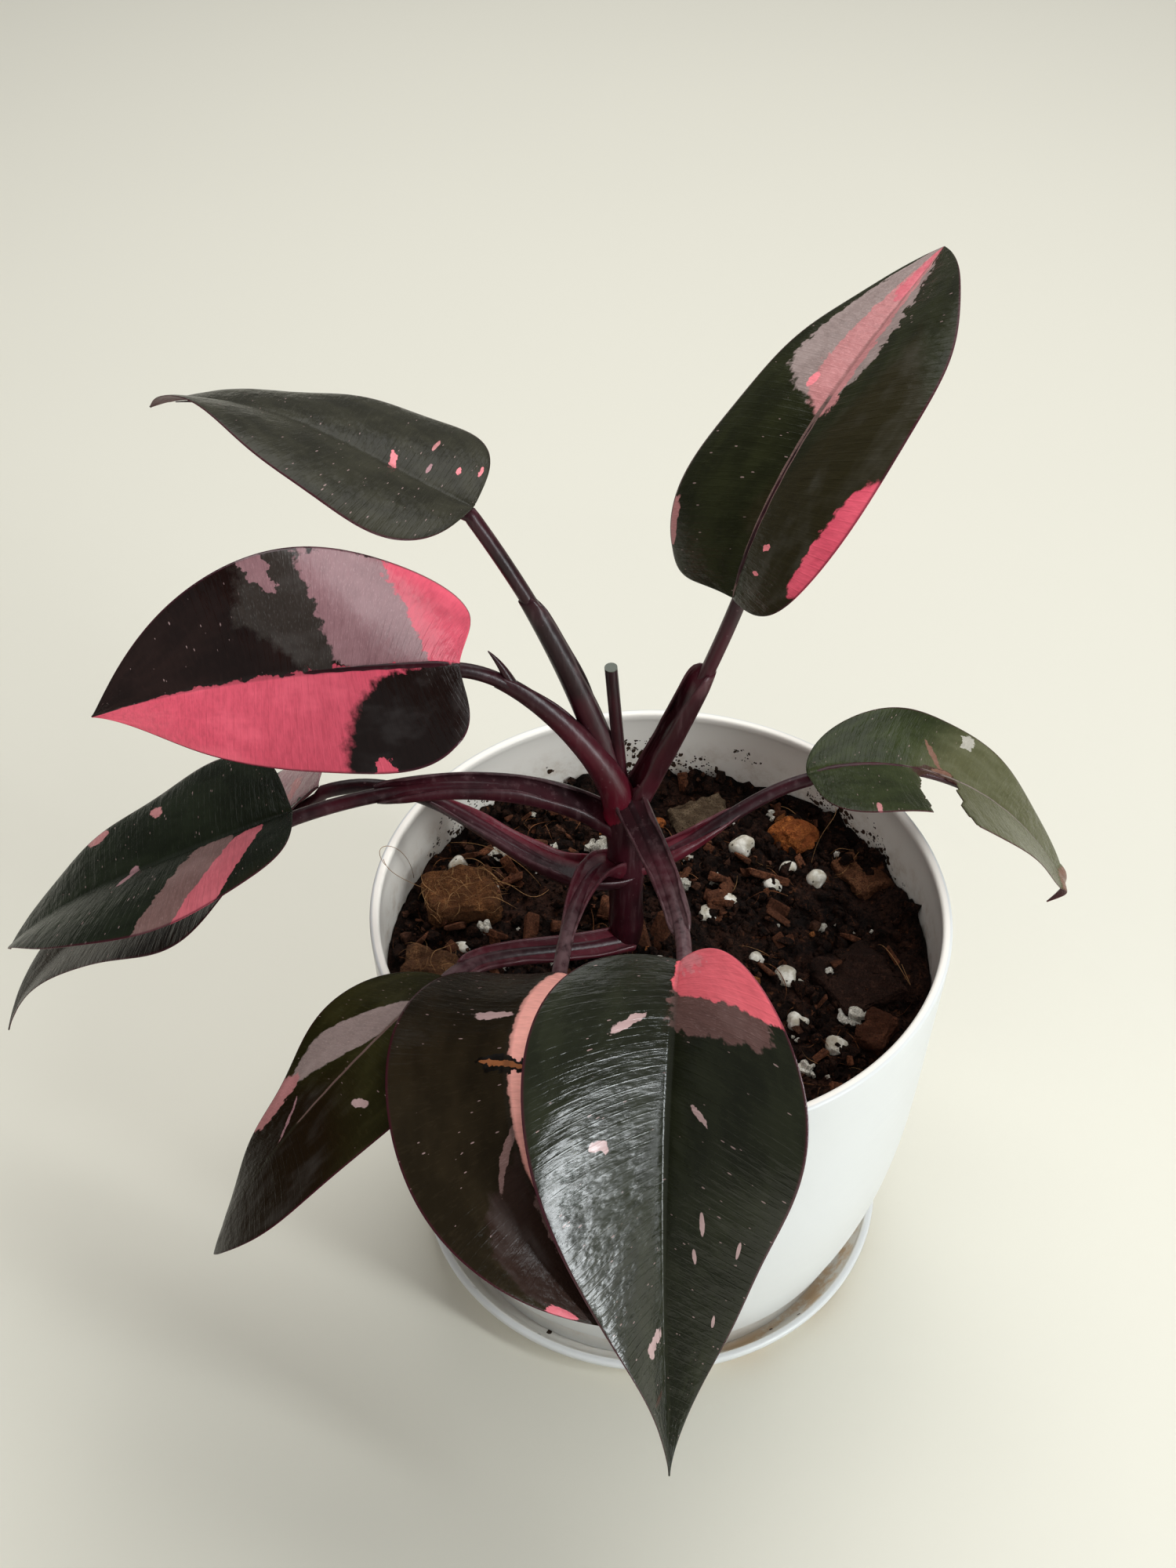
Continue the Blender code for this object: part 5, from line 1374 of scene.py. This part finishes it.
def blade_skin(name, seed, ground, gloss, sectors):
    """Waxy leaf skin in blade places: streaked ground, sectors, painted sheen lines, flecks, veins and margin."""
    material, tree, shader = new_material(f"{name}_skin", 0.32)
    chart = wire(tree, "ShaderNodeUVMap", uv_map="blade")
    along, slid, _ = axes(tree, chart)
    across = calc(tree, "MULTIPLY_ADD", slid, 2.0, -1.0)
    place = wire(tree, "ShaderNodeCombineXYZ", along, across, seed * 3.7)
    under = wire(tree, "ShaderNodeAttribute", attribute_name="under", result=2)
    streak = grain(tree, stretched(tree, place, (120.0, 6.5, 1.0)), 1.0, 3.0, 0.6)
    fine = grain(tree, stretched(tree, place, (420.0, 26.0, 1.0)), 1.0, 2.0, 0.6)
    cloud = grain(tree, stretched(tree, place, (7.0, 3.0, 1.0)), 1.0, 3.0, 0.6)
    jag = wire(tree, "ShaderNodeTexNoise", stretched(tree, place, (38.0, 9.0, 1.0)), 1.0, 3.0, 0.62, result=1)
    jag = wire(tree, "ShaderNodeVectorMath", jag, (0.5, 0.5, 0.5), operation="SUBTRACT")
    lighter, lightest = (tuple(times * c for c in ground) for times in (1.75, 2.2))
    colour = tint(tree, fade(tree, cloud, 0.35, 0.70), ground, lighter)
    colour = tint(tree, calc(tree, "MULTIPLY", fade(tree, streak, 0.50, 0.75), 0.35), colour, lightest)
    fleck_place = stretched(tree, place, (230.0, 17.0, 1.0))
    flecks = use(tree, SPECKS, place=fleck_place, scale=1.0, size=0.27, share=0.040)
    colour = tint(tree, calc(tree, "MULTIPLY", flecks, 0.55), colour, PALE_FLECK)
    pinkness = None
    for shade, middle, reach, slant, squareness, ragged in sectors:
        mask = use(
            tree, SECTOR, along=along, across=across, jag=jag, middle_along=middle[0], middle_across=middle[1],
            reach_along=reach[0], reach_across=reach[1], slant=slant, squareness=float(squareness), ragged=ragged,
        )
        deep = tuple(0.86 * c for c in shade)
        textured = tint(tree, fade(tree, streak, 0.30, 0.62), deep, shade)
        textured = tint(tree, fade(tree, cloud, 0.45, 0.75), textured, tuple(min(1.0, 1.10 * c + 0.02) for c in shade))
        # Painted sheen: pale streaks over these sectors stand in for the gloss that catches on them
        if shade in SHEEN_PAINTED_SECTORS:
            painted_sheen = calc(tree, "MULTIPLY", fade(tree, fine, 0.54, 0.72), 0.55)
            textured = tint(tree, painted_sheen, textured, tuple(1.35 * c + 0.05 for c in shade))
        colour = tint(tree, mask, colour, textured)
        if shade in PINKS:
            pinkness = mask if pinkness is None else calc(tree, "MAXIMUM", pinkness, mask)
    distance = calc(tree, "ABSOLUTE", across)
    rib = fade(tree, distance, 0.045, 0.012)
    rib_colour = tuple(1.3 * c + 0.012 for c in ground)
    colour = tint(tree, calc(tree, "MULTIPLY", rib, 0.35), colour, rib_colour)
    margin = fade(tree, distance, 0.972, 0.998)
    colour = tint(tree, calc(tree, "MULTIPLY", margin, 0.8), colour, MARGIN_PURPLE)
    below = tint(tree, fade(tree, cloud, 0.3, 0.7), UNDER_MAROON, tuple(1.6 * c for c in UNDER_MAROON))
    if pinkness is not None:
        below = tint(tree, calc(tree, "MULTIPLY", pinkness, 0.8), below, PINK)
    colour = tint(tree, fade(tree, under, 0.4, 0.6), colour, below)
    tree.links.new(colour, shader.inputs["Base Color"])
    least, depth = (0.09, 0.00025) if gloss > WAXY_GLOSS else (0.14, 0.00034)
    rough = calc(tree, "MULTIPLY_ADD", streak, 0.22, least)
    rough = calc(tree, "ADD", rough, calc(tree, "MULTIPLY", under, 0.18))
    tree.links.new(rough, shader.inputs["Roughness"])
    shader.inputs["Specular IOR Level"].default_value = gloss
    shader.inputs["Coat Weight"].default_value = 0.03
    shader.inputs["Coat Roughness"].default_value = 0.20
    vein = calc(tree, "PINGPONG", calc(tree, "MULTIPLY", along, float(SIDE_VEINS * 4)), 0.5)
    ridges = calc(tree, "MULTIPLY", fade(tree, vein, 0.12, 0.0), 0.10)
    swells = grain(tree, stretched(tree, place, (46.0, 5.0, 1.0)), 1.0, 2.0, 0.5)
    height = calc(tree, "MULTIPLY_ADD", streak, 0.40, calc(tree, "MULTIPLY_ADD", fine, 0.10, ridges))
    relief(tree, shader, calc(tree, "ADD", height, swells), depth)
    return material


SECTOR = sector_group()
for seed, (name, leaf) in enumerate(LEAVES.items(), start=1):
    piece = blade(f"{name}_blade", leaf, seed, name == "leaf_right_torn")
    piece.data.materials.append(blade_skin(name, seed, **MARKINGS[name]))
    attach(piece, "root")
    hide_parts(name)

# Floor, light and camera
# A plain pale floor under the saucer, soft daylight from a window on the right, and the
# camera where the photograph was taken, a little above and in front of the plant.
FLOOR_CREAM = (0.69, 0.67, 0.582)
FLOOR_LEVEL = -0.0002
CAMERA_PLACE = Vector((0.0, -0.3891, 0.5367))
CAMERA_YAW = math.radians(-2.795)
CAMERA_DIP = math.radians(43.594)
CAMERA_ROLL = math.radians(0.470)
PHOTO_HEIGHT = 2000
FOCAL_PIXELS = 2800
SENSOR_WIDTH = 36.0
DAYLIGHT = (0.95, 0.97, 1.0, 1.0)
DAYLIGHT_STRENGTH = 0.14


def floor_skin():
    """Smooth matt cream, a little darker in broad soft clouds."""
    material, tree, shader = new_material("floor_cream", 0.55)
    soft = grain(tree, object_place(tree), 3.0, 2.0)
    colour = tint(tree, soft, FLOOR_CREAM, tuple(0.96 * c for c in FLOOR_CREAM))
    tree.links.new(colour, shader.inputs["Base Color"])
    return material


def lamp(name, place, aim, size, power, colour, mirrored):
    """A rectangular lamp; one that isn't mirrored lights surfaces without glare on them."""
    light = bpy.data.lights.new(name, "AREA")
    light.shape = "RECTANGLE"
    light.size, light.size_y = size
    light.energy = power
    light.color = colour
    item = placed(name, light)
    item.location = place
    item.rotation_euler = (Vector(aim) - Vector(place)).to_track_quat("-Z", "Y").to_euler()
    item.visible_glossy = mirrored


form = bmesh.new()
bmesh.ops.create_circle(
    form, cap_ends=True, segments=96, radius=4.0, matrix=Matrix.Translation((0.0, 0.0, FLOOR_LEVEL)),
)
floor = kept_form("floor", form)
floor.data.materials.append(floor_skin())

world = bpy.data.worlds.new("daylight")
world.use_nodes = True
sky = world.node_tree.nodes["Background"]
sky.inputs["Color"].default_value = DAYLIGHT
sky.inputs["Strength"].default_value = DAYLIGHT_STRENGTH
bpy.context.scene.world = world
bpy.context.scene.view_settings.view_transform = "Standard"
lamp("window", (0.77, -0.51, 0.47), (0.0, -0.07, 0.13), (0.10, 1.00), 8.6, (0.93, 0.98, 1.0), True)
lamp("skylight", (0.12, 0.46, 1.20), (0.0, 0.0, 0.13), (1.1, 0.9), 11.0, (1.0, 1.0, 0.99), False)
lamp("low_sky", (0.10, 0.82, 1.02), (0.0, 0.0, 0.15), (1.1, 0.7), 4.4, (1.0, 1.0, 0.99), True)
lamp("soft_fill", (-0.35, -0.92, 1.0), (0.0, 0.0, 0.10), (1.8, 1.8), 8.6, (1.0, 0.985, 0.95), False)

forward = Vector((
    math.sin(CAMERA_YAW) * math.cos(CAMERA_DIP), math.cos(CAMERA_YAW) * math.cos(CAMERA_DIP), -math.sin(CAMERA_DIP)
))
level_right = Vector((math.cos(CAMERA_YAW), -math.sin(CAMERA_YAW), 0.0))
level_up = level_right.cross(forward)
right = math.cos(CAMERA_ROLL) * level_right + math.sin(CAMERA_ROLL) * level_up
up = right.cross(forward)
camera = placed("camera", bpy.data.cameras.new("camera"))
camera.data.sensor_width = SENSOR_WIDTH
camera.data.lens = SENSOR_WIDTH * FOCAL_PIXELS / PHOTO_HEIGHT
camera.data.clip_start = 0.01
camera.matrix_world = Matrix.Translation(CAMERA_PLACE) @ Matrix((right, up, -forward)).transposed().to_4x4()
bpy.context.scene.camera = camera
